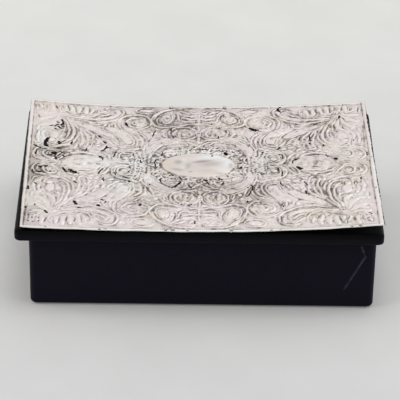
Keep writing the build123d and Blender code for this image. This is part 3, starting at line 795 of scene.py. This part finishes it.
# The die's lines wander a little off true, and the sheet's border follows its edge
drift_x = 0.22 * np.sin(x / 6.1 + y / 9.0 + 1) + 0.15 * np.sin(y / 4.3 - x / 11 + 2) + 0.10 * wander(1.6)
drift_y = 0.18 * np.sin(x / 5.2 - y / 7.7 + 4) + 0.15 * np.sin(y / 5.9 + x / 8.1) + 0.10 * wander(1.6)
inner = np.clip(np.minimum(reach_x - np.abs(x), reach_y - np.abs(y)) / 4, 0, 1)
at_edge = x * die_long / reach_x
u = np.abs(at_edge + (die_x * die_long / half_printed + 0.6 + drift_x - at_edge) * inner)
v = np.abs(y * die_wide / reach_y - (0.4 + 0.4 * np.clip(y / 12, 0, 1) - drift_y) * inner)
height = look_up(relief, u, v)
height = height * (1 + (0.18 * np.clip(wander(3), -2, 2) + 0.20 * np.clip(wander(1.2), -2, 2)) * inner)
height = height + (0.018 * wander(0.8) + 0.008 * wander(0.5)) * inner

# The relief is rubbed flatter in places
rubbed = patches(
    (8, 61, 13, 8, 0.6), (22, 62, 14, 4, 0.4), (15, 18, 5, 7, 0.6), (50, 46, 4, 3, 0.5),
    (42, 46, 6, 3, 0.7, -0.5), (60, 46, 6, 3, 0.5, 0.5), (26, 48, 5, 4, 0.4), (9, 63, 6, 4, 0.3),
    (5, 8, 7, 6, 0.4), (88, 24, 7, 9, 0.4), (93, 55, 5, 6, 0.4), (50, 20, 12, 2.5, 0.4),
    (24, 22, 7, 6, 0.35, 0.4), (9, 20, 4, 5, 0.4), (78, 57, 8, 5, 0.25), (68, 26, 5, 6, 0.25),
    (49.6, 14, 1.2, 7, 0.6),
)
height = height + rubbed * (soften(height, 0.55) - height)

# Tarnish lies in the creases at the foot of the forms, and thinly in the low ground
crease = np.clip((soften(height, 0.15) - height) / 0.05, -1, 1)
hollow = np.clip((soften(height, 0.45) - height) / 0.2, -1, 1)

# The plain oval stands up from the middle with a low step round it. The step holds tarnish and painted shade,
# darkest along its left
oval_share = ((die_x + 0.75) / 10.65) ** 2 + ((y - 0.4) / 6.65) ** 2
crown = 0.28 + 0.40 * np.clip(1 - oval_share, 0, 1) ** 0.7
crown = crown + 0.012 * np.sin(x / 1.7 + 1) * np.sin(y / 1.9 + x / 5) + 0.006 * wander(1.4)
crown = crown - 0.10 * np.exp(-(((die_x + 2.9) / 0.9) ** 2) - ((y + 3.7) / 0.35) ** 2)
height = np.where(oval_share < 1, crown, height)
hollow = np.where(oval_share < 0.96, -0.15, hollow)
step_dark = np.clip(0.35 - 0.04 * x + 0.03 * y, 0.1, 0.8)
crease = np.where(oval_share < 0.93, -1.0, np.where(oval_share < 1.03, step_dark, crease))

# Tarnish caught in the hollows, in strokes from the sheet's back left corner, in tenths of a millimetre
black, brown = np.zeros_like(x), np.zeros_like(x)


def blot(field, width, *strokes):
    """Strokes of tarnish over the sheet, ragged at their edges."""
    for spot_x, spot_y in np.vstack([smooth_line(tenths(stroke)) for stroke in strokes]):
        place_x = spot_x * half_printed / die_long - half_printed
        place_y = reach_y - (spot_y - 0.15) * reach_y / die_wide
        i = int((place_x - askew(place_x, place_y) - middle_x + print_shift + reach_x) / pitch)
        j = int((place_y + reach_y) / pitch)
        near = slice(max(0, j - 5), j + 7), slice(max(0, i - 5), i + 7)
        gap = np.hypot(die_x[near] - place_x, y[near] - place_y)
        gap = gap + 0.10 * np.sin(5 * x[near] + 3 * y[near]) * np.sin(6 * y[near] - 2 * x[near])
        field[near] = np.maximum(field[near], np.clip((0.48 * width + 0.02 - gap) / 0.22 + 0.5, 0, 1))


blot(
    black, 1.1,
    (59, 214, 53, 230, 52, 248, 58, 257), (76, 294, 81, 290, 84, 294), (776, 355, 786, 363),
    (646, 130, 654, 138, 665, 144), (43, 398, 45, 398), (215, 555, 216, 557), (570, 270, 573, 274),
    (129, 378, 133, 384),
)
blot(
    black, 0.85,
    (43, 373, 50, 369, 63, 366), (609, 255, 609, 258), (614, 350, 614, 354), (770, 316, 773, 311),
    (883, 313, 888, 318), (297, 427, 299, 428), (147, 538, 154, 551), (162, 572, 173, 574),
    (331, 547, 331, 549), (509, 415, 515, 418), (736, 12, 728, 24, 734, 40),
)
blot(
    black, 0.7,
    (443, 428, 432, 441, 423, 454), (89, 227, 92, 240), (108, 368, 112, 377, 118, 387),
    (74, 393, 74, 395), (209, 295, 215, 300, 219, 308), (218, 216, 226, 223), (629, 527, 629, 529),
    (70, 594, 76, 603),
)
blot(
    black, 0.6,
    (93, 106, 97, 124, 91, 136), (84, 146, 92, 154), (76, 138, 84, 136), (17, 473, 18, 486),
    (21, 253, 30, 262, 38, 268), (95, 235, 107, 223), (88, 264, 99, 264), (129, 229, 126, 239),
    (84, 302, 82, 310, 88, 321), (105, 303, 109, 308), (95, 142, 102, 144), (139, 388, 148, 393),
    (221, 368, 213, 377, 210, 387), (229, 242, 225, 254, 219, 264, 214, 266), (327, 316, 330, 323),
    (281, 407, 294, 411), (144, 435, 149, 443), (34, 455, 38, 460), (224, 527, 229, 531),
    (236, 538, 236, 540), (465, 443, 469, 450, 473, 458), (550, 404, 553, 410, 560, 412),
    (611, 324, 611, 326), (280, 104, 285, 120), (908, 74, 908, 87), (880, 12, 883, 12),
    (814, 225, 815, 226), (853, 236, 854, 240), (677, 272, 679, 269), (677, 384, 679, 384),
    (793, 481, 795, 493), (167, 273, 167, 275), (959, 637, 959, 638), (345, 381, 345, 383),
    (3, 594, 3, 596),
)
blot(
    black, 0.45,
    (60, 141, 72, 139), (79, 118, 86, 126), (74, 156, 82, 162), (16, 576, 17, 584), (30, 596, 31, 597),
    (24, 616, 26, 619), (46, 614, 47, 614), (36, 632, 38, 632), (54, 629, 55, 629), (62, 303, 73, 302),
    (72, 316, 80, 313), (98, 280, 103, 288, 111, 287), (99, 298, 92, 304), (126, 286, 123, 293),
    (29, 287, 28, 302), (23, 390, 26, 401, 38, 401), (171, 263, 168, 272), (230, 244, 241, 249),
    (219, 310, 220, 318), (257, 271, 253, 286, 250, 301), (306, 278, 306, 284), (323, 235, 324, 240),
    (370, 314, 369, 330, 372, 348), (378, 307, 378, 311), (389, 266, 390, 276, 386, 289),
    (296, 347, 300, 355), (298, 368, 294, 377), (256, 383, 259, 398), (224, 411, 226, 429),
    (356, 442, 356, 446), (340, 457, 341, 458), (203, 341, 212, 343), (439, 397, 444, 410, 448, 419),
    (446, 453, 450, 454), (491, 416, 501, 411), (517, 425, 522, 435), (504, 422, 506, 430),
    (565, 429, 561, 436), (417, 388, 423, 392), (505, 252, 517, 250), (557, 260, 559, 262),
    (533, 284, 533, 291), (611, 310, 619, 311), (631, 304, 632, 312), (684, 290, 684, 292),
    (728, 240, 722, 251, 713, 259), (723, 282, 732, 286, 735, 305), (762, 331, 763, 322, 767, 317),
    (775, 310, 783, 305), (806, 254, 810, 259), (837, 287, 837, 294), (859, 293, 865, 303),
    (976, 289, 976, 303), (951, 424, 951, 431), (724, 431, 726, 443, 731, 449),
    (791, 431, 796, 440, 800, 452), (730, 371, 732, 384, 729, 401), (713, 352, 720, 359, 720, 368),
    (643, 444, 645, 457, 641, 475, 634, 494, 625, 500), (632, 457, 633, 459), (808, 474, 808, 476),
    (656, 470, 656, 472), (920, 527, 921, 528), (962, 610, 963, 610), (968, 615, 968, 616),
    (385, 412, 387, 426, 398, 442, 414, 454, 429, 456), (483, 627, 483, 637),
    (446, 542, 464, 548, 475, 541), (463, 526, 464, 526), (432, 14, 433, 14), (533, 102, 533, 104),
    (390, 83, 391, 84), (368, 144, 363, 160, 360, 174), (414, 132, 413, 146), (420, 176, 421, 188),
    (552, 178, 552, 188), (609, 80, 610, 80), (801, 10, 802, 10), (810, 10, 811, 10),
    (832, 119, 842, 114), (786, 193, 785, 205), (816, 183, 817, 205, 822, 215), (897, 162, 897, 170),
    (942, 217, 942, 219), (919, 235, 919, 237), (203, 183, 212, 193), (264, 142, 264, 144),
    (41, 566, 41, 568), (27, 648, 28, 648), (41, 649, 42, 649), (55, 646, 56, 646), (725, 546, 729, 562),
)
blot(
    brown, 0.5,
    (20, 570, 16, 600, 15, 655), (12, 300, 13, 360, 15, 450), (13, 30, 16, 76), (24, 85, 28, 105),
    (974, 140, 972, 260), (975, 306, 975, 334), (877, 125, 878, 150, 886, 180, 889, 200),
    (920, 624, 923, 650), (845, 482, 844, 505, 852, 530), (817, 610, 815, 626), (828, 615, 828, 630),
    (594, 356, 589, 366, 583, 374), (589, 402, 585, 414), (825, 328, 840, 330, 848, 334),
    (820, 356, 839, 361), (369, 350, 371, 364),
)
blot(
    brown, 0.35,
    (433, 279, 416, 288, 399, 300, 390, 314, 386, 326, 385, 340, 389, 352, 395, 363),
    (448, 270, 470, 268, 500, 269), (383, 369, 390, 381, 402, 388), (70, 344, 84, 343),
    (766, 478, 784, 490), (736, 444, 751, 455), (858, 432, 854, 454), (660, 544, 676, 536, 696, 542),
    (686, 560, 687, 570), (643, 546, 642, 560), (644, 586, 650, 596), (727, 566, 726, 580),
    (739, 606, 737, 622, 746, 634), (853, 615, 852, 635), (859, 601, 884, 606, 901, 615),
    (901, 612, 904, 622), (896, 636, 893, 648), (936, 433, 939, 452), (412, 498, 418, 490),
    (483, 484, 486, 505), (503, 484, 502, 502), (548, 484, 548, 488),
    (526, 490, 542, 506, 534, 520, 544, 538), (620, 585, 615, 620, 608, 632), (530, 32, 530, 40),
    (569, 42, 569, 68), (532, 130, 532, 150), (555, 126, 555, 140), (576, 143, 576, 147),
    (486, 122, 486, 148), (486, 171, 487, 190), (436, 136, 435, 149), (350, 118, 351, 122),
    (389, 130, 389, 134), (573, 181, 573, 185), (410, 171, 416, 180), (790, 30, 788, 42, 793, 58),
    (826, 36, 823, 46), (848, 46, 852, 56), (889, 45, 894, 55), (906, 30, 909, 60), (772, 164, 782, 158),
    (840, 160, 840, 186), (666, 195, 666, 224), (630, 205, 640, 234), (148, 490, 154, 510, 148, 525),
    (183, 618, 183, 628), (255, 605, 265, 620, 260, 638), (210, 154, 240, 172), (146, 140, 144, 185),
    (155, 100, 155, 130), (343, 190, 346, 205, 335, 218), (353, 73, 353, 77), (108, 172, 108, 186),
    (108, 202, 108, 214), (770, 372, 776, 383), (816, 408, 833, 410), (912, 404, 912, 408),
    (456, 236, 457, 245), (439, 244, 439, 255), (529, 412, 529, 417), (204, 453, 218, 452),
    (251, 368, 250, 374), (399, 246, 400, 254), (119, 250, 106, 259), (39, 269, 50, 273, 61, 279),
    (346, 290, 346, 295),
)
height = height - 0.12 * black
crease = np.maximum(crease, 1.1 * brown)

# Smoky patches that the cleaning cloth has missed, straw-coloured stains and cleaned cool white places, mixed
# with painted dark reflections, painted shade and painted highlights
in_oval = oval_share < 0.96
polished = patches(
    (20, 52, 18, 13, 0.55), (50, 63, 45, 3, 0.35), (24, 32, 8, 4, 0.5), (7, 8, 8, 6, 0.45),
    (70, 50, 6, 10, 0.35), (31, 20, 9, 8, 0.35), (92, 28, 8, 16, 0.35), (75, 57, 10, 6, 0.3),
)
crease = crease - polished * np.clip(crease, 0, 1)
hollow = hollow - 0.7 * polished * np.clip(hollow, 0, 1)
smoke_and_dark_reflection = patches(
    (42, 12, 8, 4.5, 0.9), (37, 9, 4, 6, 0.7), (47, 17.5, 11, 3, 0.7), (36, 31, 3, 7, 0.75),
    (50, 46, 14, 4.5, 0.9), (33, 54, 6, 5, 0.6), (62, 51, 6, 5, 0.7), (8, 28, 6, 3.5, 0.9),
    (10, 16, 5, 5, 0.35), (46, 4, 4, 4, 0.4), (61, 30, 4, 7, 0.5), (85, 13, 8, 5, 0.3),
    (22, 20, 8, 6, 0.2), (76, 32, 7, 4, 0.35), (43, 41, 5, 2.5, 0.8, 0.3), (50, 42.5, 10, 2, 0.7),
    (66, 47, 4, 4, 0.9), (12, 18, 2.5, 5, 0.4, 0.3), (86, 33, 7, 3, 0.45), (28, 28, 7, 6, 0.4),
    (50, 24.5, 14, 1.6, 0.45), (3, 38, 2, 9, 0.7), (69, 34, 6, 6, 0.5), (27, 40, 6, 4, 0.4),
    (3, 62, 4, 5, 0.5), (20, 55, 16, 10, 0.22), (77, 22, 9, 5, 0.25), (45, 51.5, 2, 1.6, 0.5),
    (54, 51.5, 2, 1.6, 0.5), (59, 45.5, 2, 1.2, 0.4), (13.8, 17.6, 0.8, 0.9, 0.8),
    (89.5, 44.7, 1.5, 0.8, 0.6), (33.5, 1.8, 1.2, 0.8, 0.6), (54.5, 42.8, 1.6, 1.2, 0.8),
)
# Inside the oval these dark patches are painted reflections.
smoke_and_dark_reflection = np.where(in_oval, patches(
    (47.0, 34.5, 10, 8, 0.34), (50.4, 32.2, 3.4, 1.0, 1.3, -0.2), (52.6, 33.4, 4.4, 2.0, 0.8, -0.25),
    (51, 36.8, 5, 2.2, 0.42), (58.6, 34.0, 0.8, 1.6, 0.8), (59.2, 37.0, 0.9, 0.6, 1.6, 0.6),
    (43.6, 32.4, 1.5, 1.5, 1.0), (43.4, 36.4, 2.4, 0.9, 0.9, 0.3), (47, 37.5, 0.8, 0.3, 1.4),
    (55.4, 38.2, 2.4, 0.5, 0.7, 0.1), (46.4, 34.5, 1.2, 2.6, 0.8, 0.2), (41.0, 38.6, 1.4, 0.7, 0.9),
), smoke_and_dark_reflection)
# Inside the oval the warm patches are painted reflection. Outside, some are straw stains, and some are
# painted shade in the gaps of the flutes near the front right corner, beside the crescents and along the
# inner sides of the end borders.
straw = np.where(in_oval, patches(
    (40.4, 33, 2.4, 4.6, 1.0), (46, 29.2, 4.0, 1.3, 0.9), (54, 38.0, 5, 1.6, 0.4),
    (47, 35.5, 2, 2.5, 0.4),
), patches(
    (5, 4, 5, 3, 0.5), (83, 60, 7, 3, 0.4), (92, 60, 4, 3, 0.4), (84, 46, 2.5, 6, 0.5, 0.3),
    (52, 20, 9, 4, 0.35), (60, 9, 8, 5, 0.4), (85, 11, 7, 4, 0.35), (60, 50, 6, 4, 0.5),
    (94, 40, 3, 8, 0.4), (90, 34, 8, 3, 0.3), (45, 51.5, 2.5, 2, 0.7), (54, 51.5, 2.5, 2, 0.7),
    (35.5, 60, 2.5, 2, 0.6), (59, 45.5, 2.5, 1.5, 0.7), (33.5, 1.8, 1.5, 1, 0.8),
    (89.5, 44.7, 1.6, 1, 0.9), (91.3, 38, 1.8, 1.6, 0.8), (86.5, 24, 1.5, 2.5, 0.6),
    (1.9, 30, 0.5, 9, 0.9), (2.0, 9, 0.6, 6, 0.7), (98.0, 14, 0.5, 9, 0.8), (98.1, 42, 0.5, 6, 0.7),
    (3.4, 2.6, 2.4, 1.0, 0.9),
))
# Inside the oval these bright patches are painted highlights. Outside, they are cleaned places, with painted
# highlights along the sheet's front edge and its end borders.
clean_and_highlight = np.where(in_oval, patches(
    (53.4, 29.5, 5.2, 1.4, 1.4, -0.2), (45.2, 31.4, 1.0, 1.4, 0.8, 0.3), (44.9, 35.2, 1.0, 1.0, 0.7),
    (57.0, 30.9, 3.0, 1.1, 1.2, -0.32), (59.3, 33.2, 0.6, 1.8, 0.9), (57.6, 32.6, 2.2, 2.0, 1.1, -0.2),
    (56.6, 36.4, 3.0, 1.2, 0.6, 0.2), (47.5, 38.1, 1.2, 0.25, 0.9, 0.1),
), patches(
    (50, 26.3, 12, 2.0, 0.6), (36, 30, 3, 6, 0.7), (25, 32, 9, 4, 0.5), (27, 43, 3.5, 5, 0.7, -0.4),
    (3.6, 19, 1.0, 5, 0.8), (36, 41, 2.2, 1.6, 1.0), (68, 31, 5, 4, 0.3), (93, 52, 4, 4, 0.3),
    (32, 33, 4, 5, 0.7), (68, 33, 4, 4, 0.4), (50, 67.4, 50, 0.5, 1.2), (3.0, 46.5, 1.0, 1.4, 0.8),
    (99.2, 34, 0.5, 34, 0.8), (0.6, 22, 0.5, 20, 0.4),
))
grime = 0.15 + patches(
    (5, 26, 6, 12, 0.9), (28, 30, 10, 8, 0.8), (49, 32, 16, 10, 0.8), (68, 32, 10, 8, 0.8),
    (84, 12, 8, 8, 0.5), (92, 30, 8, 12, 0.5), (22, 40, 10, 6, 0.7), (65, 48, 6, 5, 0.9),
    (3, 64, 5, 5, 0.9), (88, 46, 6, 6, 0.3), (48, 8, 10, 8, 0.4),
)

# The ground between the leaves is matted. The die's small punch marks stand up as pips on the sheet.
punch = np.random.default_rng(11).uniform
count, reach = 7000, 3
places = punch(-47.5, 47.5, count), punch(-31.5, 31.5, count)
for spot_x, spot_y, size in zip(*places, punch(0.3, 0.6, count)):
    i, j = int((spot_x + reach_x) / pitch), int((spot_y + reach_y) / pitch)
    near = slice(max(0, j - reach), j + reach + 1), slice(max(0, i - reach), i + reach + 1)
    pip = 0.07 * np.clip(1 - ((x[near] - spot_x) ** 2 + (y[near] - spot_y) ** 2) / size**2, 0, 1)
    low = np.clip((0.30 - height[near]) / 0.15, 0, 1) * (oval_share[near] > 1.05)
    height[near] += pip * low
    hollow[near] -= 0.4 * np.where(pip > 0.03, low, 0)

# The empty holes of lost nails, black inside
hole_inset, hole_reach = 1.0, 0.3
holes = [(a * reach_x, b * (reach_y - hole_inset)) for a in (-0.86, -0.53, 0.43, 0.86) for b in (-1, 1)]
holes += [(b * (reach_x - hole_inset), a * reach_y) for a in (-0.42, 0.06) for b in (-1, 1)]
for hole_x, hole_y in holes:
    gap = np.hypot(x - hole_x, y - hole_y)
    height = np.where(gap < hole_reach, -thickness, height)
    black = np.maximum(black, np.clip((hole_reach + 0.06 - gap) / 0.15, 0, 1))

# The edge is cut by hand, dark along its right end with painted shade on the curled edge's thickness, and
# nicked in front at these hundredths of its length
right_end = np.clip((x - reach_x + 0.5) / 0.4, 0, 1) * (0.72 + 0.12 * np.sin(y / 3.0))
black = np.maximum(black, np.where(y < reach_y - 5, right_end, 0))
for nick in (22.0, 40.0, 46.0, 69.0, 91.0, 93.4):
    gap = np.hypot((x + reach_x - 2 * reach_x * nick / 100) / 1.6, y + reach_y - 0.35)
    black = np.maximum(black, np.clip((0.30 - gap) / 0.2 + 0.5, 0, 1))
trim_band = 0.6
trim = 0.12 + 0.07 * np.sin(x / 3.1 + 0.4) + 0.05 * np.sin(x / 1.3 + y) + 0.05 * np.sin(y / 2.7)
inset_x, inset_y = reach_x - np.abs(x), reach_y - np.abs(y)
trim_x, trim_y = (np.clip(1 - inset / trim_band, 0, 1) * trim for inset in (inset_x, inset_y))

# The mesh: the pressed top, and four rows of points for the plain underside
relief_limit, edge_shown = 0.95, 0.18
share = (y + reach_y) / (2 * reach_y)
under = lid_top + curled_height(x, front_lifts) * (1 - share) + curled_height(x, back_lifts) * share
upper = under + thickness + np.minimum(height, relief_limit)
out_x, out_y = x - np.sign(x) * trim_x, y - np.sign(y) * trim_y
points = np.stack([out_x + askew(x, y) + middle_x, out_y + middle_y, upper], axis=2).reshape(-1, 3)
low_rows = np.array([0, 5, deep - 6, deep - 1])[:, None] * across + np.arange(across)
lower = points[low_rows.reshape(-1)].reshape(4, across, 3)
lower[1:3, :, 2] = under.reshape(-1)[low_rows[1:3]]
lower[[0, 3], :, 2] -= edge_shown
first = np.arange(across - 1)[None, :] + across * np.arange(deep - 1)[:, None]
faces = np.stack([first, first + 1, first + across + 1, first + across], axis=2).reshape(-1, 4).tolist()
pressed_faces = len(faces)
below, last = across * deep, across * (deep - 1)
for i in range(across - 1):
    for row in (below, below + across, below + 2 * across):
        faces.append([row + i, row + across + i, row + across + i + 1, row + i + 1])
    faces.append([i + 1, i, below + i, below + i + 1])
    faces.append([last + i, last + i + 1, below + 3 * across + i + 1, below + 3 * across + i])
left_low = [below + row * across for row in range(4)]
right_low = [below + row * across - 1 for row in range(1, 5)]
left_side = [row * across for row in range(deep)]
right_side = [row * across - 1 for row in range(1, deep + 1)]
faces.append(left_side + left_low[::-1])
faces.append(right_side[::-1] + right_low)

mesh = bpy.data.meshes.new("embossed_silver")
mesh.from_pydata((np.vstack([points, lower.reshape(-1, 3)]) * mm).tolist(), [], faces)
masks = {
    "hollow": (hollow, -1.0), "crease": (crease, -1.0), "black": (black, 0.0), "smoke_and_dark_reflection": (smoke_and_dark_reflection, 0.0),
    "straw": (straw, 0.0), "clean_and_highlight": (clean_and_highlight, 1.0), "grime": (grime, 0.0),
}
for name, (field, plain) in masks.items():
    values = np.concatenate([field.reshape(-1), np.full(4 * across, plain)]).astype(np.float32)
    mesh.attributes.new(name, "FLOAT", "POINT").data.foreach_set("value", values)
mesh.polygons.foreach_set("use_smooth", np.arange(len(faces)) < pressed_faces)
mesh.update()
embossed_silver = bpy.data.objects.new("embossed_silver", mesh)
bpy.context.collection.objects.link(embossed_silver)

silver, tree, surface, place = new_finish("embossed silver", {"Metallic": 1.0})
hollows, creases, blacks, smokes_and_dark_reflections, straws, cleans_and_highlights, grimes = (
    shade(tree, "Attribute", {}, attribute_name=name, attribute_type="GEOMETRY")["Fac"] for name in masks
)
cloudy = noise(tree, place, 90, 5, 0.6)
speckle = noise(tree, place, 1500, 4, 0.65)
shine = spread(tree, cloudy, 0.35, 0.65)
bright = blend_colour(tree, shine, (0.835, 0.75, 0.745, 1), (0.81, 0.755, 0.70, 1))
bright = blend_colour(tree, math(tree, "MULTIPLY", straws, 0.8), bright, (0.80, 0.70, 0.585, 1))
bright = blend_colour(tree, math(tree, "MULTIPLY", cleans_and_highlights, 0.9), bright, (0.90, 0.915, 0.90, 1))
tone = spread(tree, noise(tree, place, 130, 3), 0.3, 0.7)
toned = blend_colour(tree, tone, (0.17, 0.15, 0.155, 1), (0.21, 0.175, 0.125, 1))
uneven = spread(tree, noise(tree, place, 420, 4, 0.6), 0.38, 0.62, 0.1, 1.2)
in_crease = math(tree, "MULTIPLY", spread(tree, creases, 0.02, 0.82), uneven)
uneven = spread(tree, noise(tree, place, 240, 3), 0.35, 0.65, 0.15, 0.6)
in_hollow = math(tree, "MULTIPLY", spread(tree, hollows, -0.1, 0.9), uneven)
dusk = math(tree, "MULTIPLY", smokes_and_dark_reflections, spread(tree, hollows, -0.6, 0.4, 0.2, 0.9))
stain = math(tree, "MULTIPLY_ADD", in_crease, 0.85, math(tree, "ADD", in_hollow, dusk), clamp=True)
uneven = spread(tree, noise(tree, place, 480, 3, 0.6), 0.54, 0.64)
caught = math(tree, "MULTIPLY", spread(tree, creases, 0.45, 0.95), uneven)
caught = math(tree, "MULTIPLY", caught, grimes)
soot = math(tree, "ADD", spread(tree, speckle, 0.3, 0.7, -0.4, 0.3), blacks)
soot = math(tree, "MAXIMUM", spread(tree, soot, 0.38, 0.62), caught)
colour = blend_colour(tree, stain, bright, toned)
rough = math(tree, "MULTIPLY_ADD", stain, 0.16, spread(tree, cloudy, 0.3, 0.7, 0.22, 0.32))
fine_marks = math(tree, "MULTIPLY_ADD", noise(tree, place, 2600, 3), 0.5, noise(tree, place, 800, 2))
colour = blend_colour(tree, soot, colour, (0.010, 0.010, 0.013, 1))
cover(tree, surface, colour, math(tree, "MULTIPLY_ADD", soot, 0.3, rough), fine_marks, 0.00003, 0.5)
mesh.materials.append(silver)
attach(embossed_silver, "lid")
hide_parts("silver_plate")

# The four nails that still hold the sheet
# Short silver pins with low domed heads, driven through the border into the lid's board.
pin_silver = metal_finish("pin silver", (0.72, 0.69, 0.66, 1), (0.25, 0.21, 0.18, 1), 0.8)
dress(pin_silver, "plate_pins")

# The table
# A pale matt sheet whose colour darkens a little toward the front as painted shade, on which the box keeps
# its shadow.
half_width = 1.6
table = bpy.data.meshes.new("table")
corners = [(half_width * a, half_width * b, 0) for a, b in ((-1, -1), (1, -1), (1, 1), (-1, 1))]
table.from_pydata(corners, [], [(0, 1, 2, 3)])
table_top = bpy.data.objects.new("table", table)
bpy.context.collection.objects.link(table_top)
paper, tree, surface, place = new_finish("pale paper", {"Roughness": 0.9, "Specular IOR Level": 0.1})
# Painted shade: the paper darkens toward the front.
to_back = spread(tree, apart(tree, place)["Y"], -0.08, 0.17)
paper_with_painted_shade = blend_colour(tree, to_back, (0.345, 0.342, 0.344, 1), (0.402, 0.407, 0.391, 1))
fibres = spread(tree, noise(tree, place, 40, 3), 0.3, 0.7, 0.97, 1.03)
feed(tree, surface, {"Base Color": blend_colour(tree, 1.0, paper_with_painted_shade, fibres, "MULTIPLY")})
glow = shade(tree, "Emission", {"Color": (1.0, 1.0, 0.99, 1), "Strength": 0.08})[0]
dark = shade(tree, "Emission", {"Color": (0, 0, 0, 1), "Strength": 0.0})[0]
rays = shade(tree, "LightPath", {})
mirrored = math(tree, "MAXIMUM", rays["Is Glossy Ray"], rays["Is Transmission Ray"])
seen_or_mirrored = math(tree, "MAXIMUM", rays["Is Camera Ray"], mirrored)
lift = shade(tree, "MixShader", {0: seen_or_mirrored, 1: dark, 2: glow})[0]
both = shade(tree, "AddShader", {0: surface.outputs[0], 1: lift})[0]
feed(tree, tree.nodes["Material Output"], {"Surface": both})
table.materials.append(paper)
table_top.location.z = solid_box[0].z

# The light
# A pale room, brightest behind the table, with one wide soft lamp over its right side. The silver doesn't
# mirror the small lamp over the middle or the two at the sides.
world = bpy.data.worlds.new("pale room")
bpy.context.scene.world = world
world.use_nodes = True
tree = world.node_tree
x, y, z = apart(tree, shade(tree, "TexCoord", {})["Generated"])
walls = blend_colour(tree, spread(tree, y, -0.5, 0.45), (0.67, 0.66, 0.65, 1), (0.95, 0.95, 0.96, 1))
for value, low, high, amount, colour in (
    (x, 0.25, 0.8, 0.6, (0.50, 0.50, 0.50, 1)),
    (x, -0.15, -0.7, 0.7, (0.55, 0.50, 0.46, 1)),
    (z, 0.72, 0.93, 1.0, (0.62, 0.62, 0.63, 1)),
):
    walls = blend_colour(tree, spread(tree, value, low, high, 0.0, amount), walls, colour)
ground = tree.nodes["Background"]
feed(tree, ground, {"Color": walls, "Strength": 1.0})
seen = shade(tree, "Background", {"Color": (0.74, 0.74, 0.73, 1)})[0]
is_seen = shade(tree, "LightPath", {})["Is Camera Ray"]
room = shade(tree, "MixShader", {0: is_seen, 1: ground.outputs[0], 2: seen})[0]
feed(tree, tree.nodes["World Output"], {"Surface": room})


def soft_lamp(name, place, size, power, mirrored=True):
    """A lamp turned to the middle of the table."""
    lamp = bpy.data.lights.new(name, "AREA")
    lamp.shape = "RECTANGLE"
    lamp.size, lamp.size_y = size
    lamp.energy = power
    hung = bpy.data.objects.new(name, lamp)
    bpy.context.collection.objects.link(hung)
    hung.location = place
    hung.rotation_euler = (-Vector(place)).to_track_quat("-Z", "Y").to_euler()
    hung.visible_glossy = mirrored


soft_lamp("wide lamp", (0.5, 0.2, 1.05), (1.7, 1.7), 3.6)
soft_lamp("high lamp", (0.05, -0.02, 1.0), (0.35, 0.35), 3.3, mirrored=False)
soft_lamp("left lamp", (-0.7, -0.1, 0.5), (0.7, 0.6), 5.6, mirrored=False)
soft_lamp("right lamp", (0.7, -0.1, 0.5), (0.7, 0.6), 3.4, mirrored=False)

# The camera
# A long lens a little under seven tenths of a metre from the box, looking down on its front.
camera = bpy.data.cameras.new("camera")
camera.lens = 205.71
camera.sensor_width = 36
camera.clip_start = 0.01
eye = bpy.data.objects.new("camera", camera)
bpy.context.collection.objects.link(eye)
yaw, pitch_down, roll = np.radians((0.6889, 31.5758, 1.0952))
eye.matrix_world = (
    Matrix.Rotation(-yaw, 4, "Z")
    @ Matrix.Translation((0.000373, -0.564654, 0.362287))
    @ Matrix.Rotation(np.pi / 2 - pitch_down, 4, "X")
    @ Matrix.Rotation(roll, 4, "Z")
)
bpy.context.scene.camera = eye
bpy.context.scene.view_settings.view_transform = "Standard"
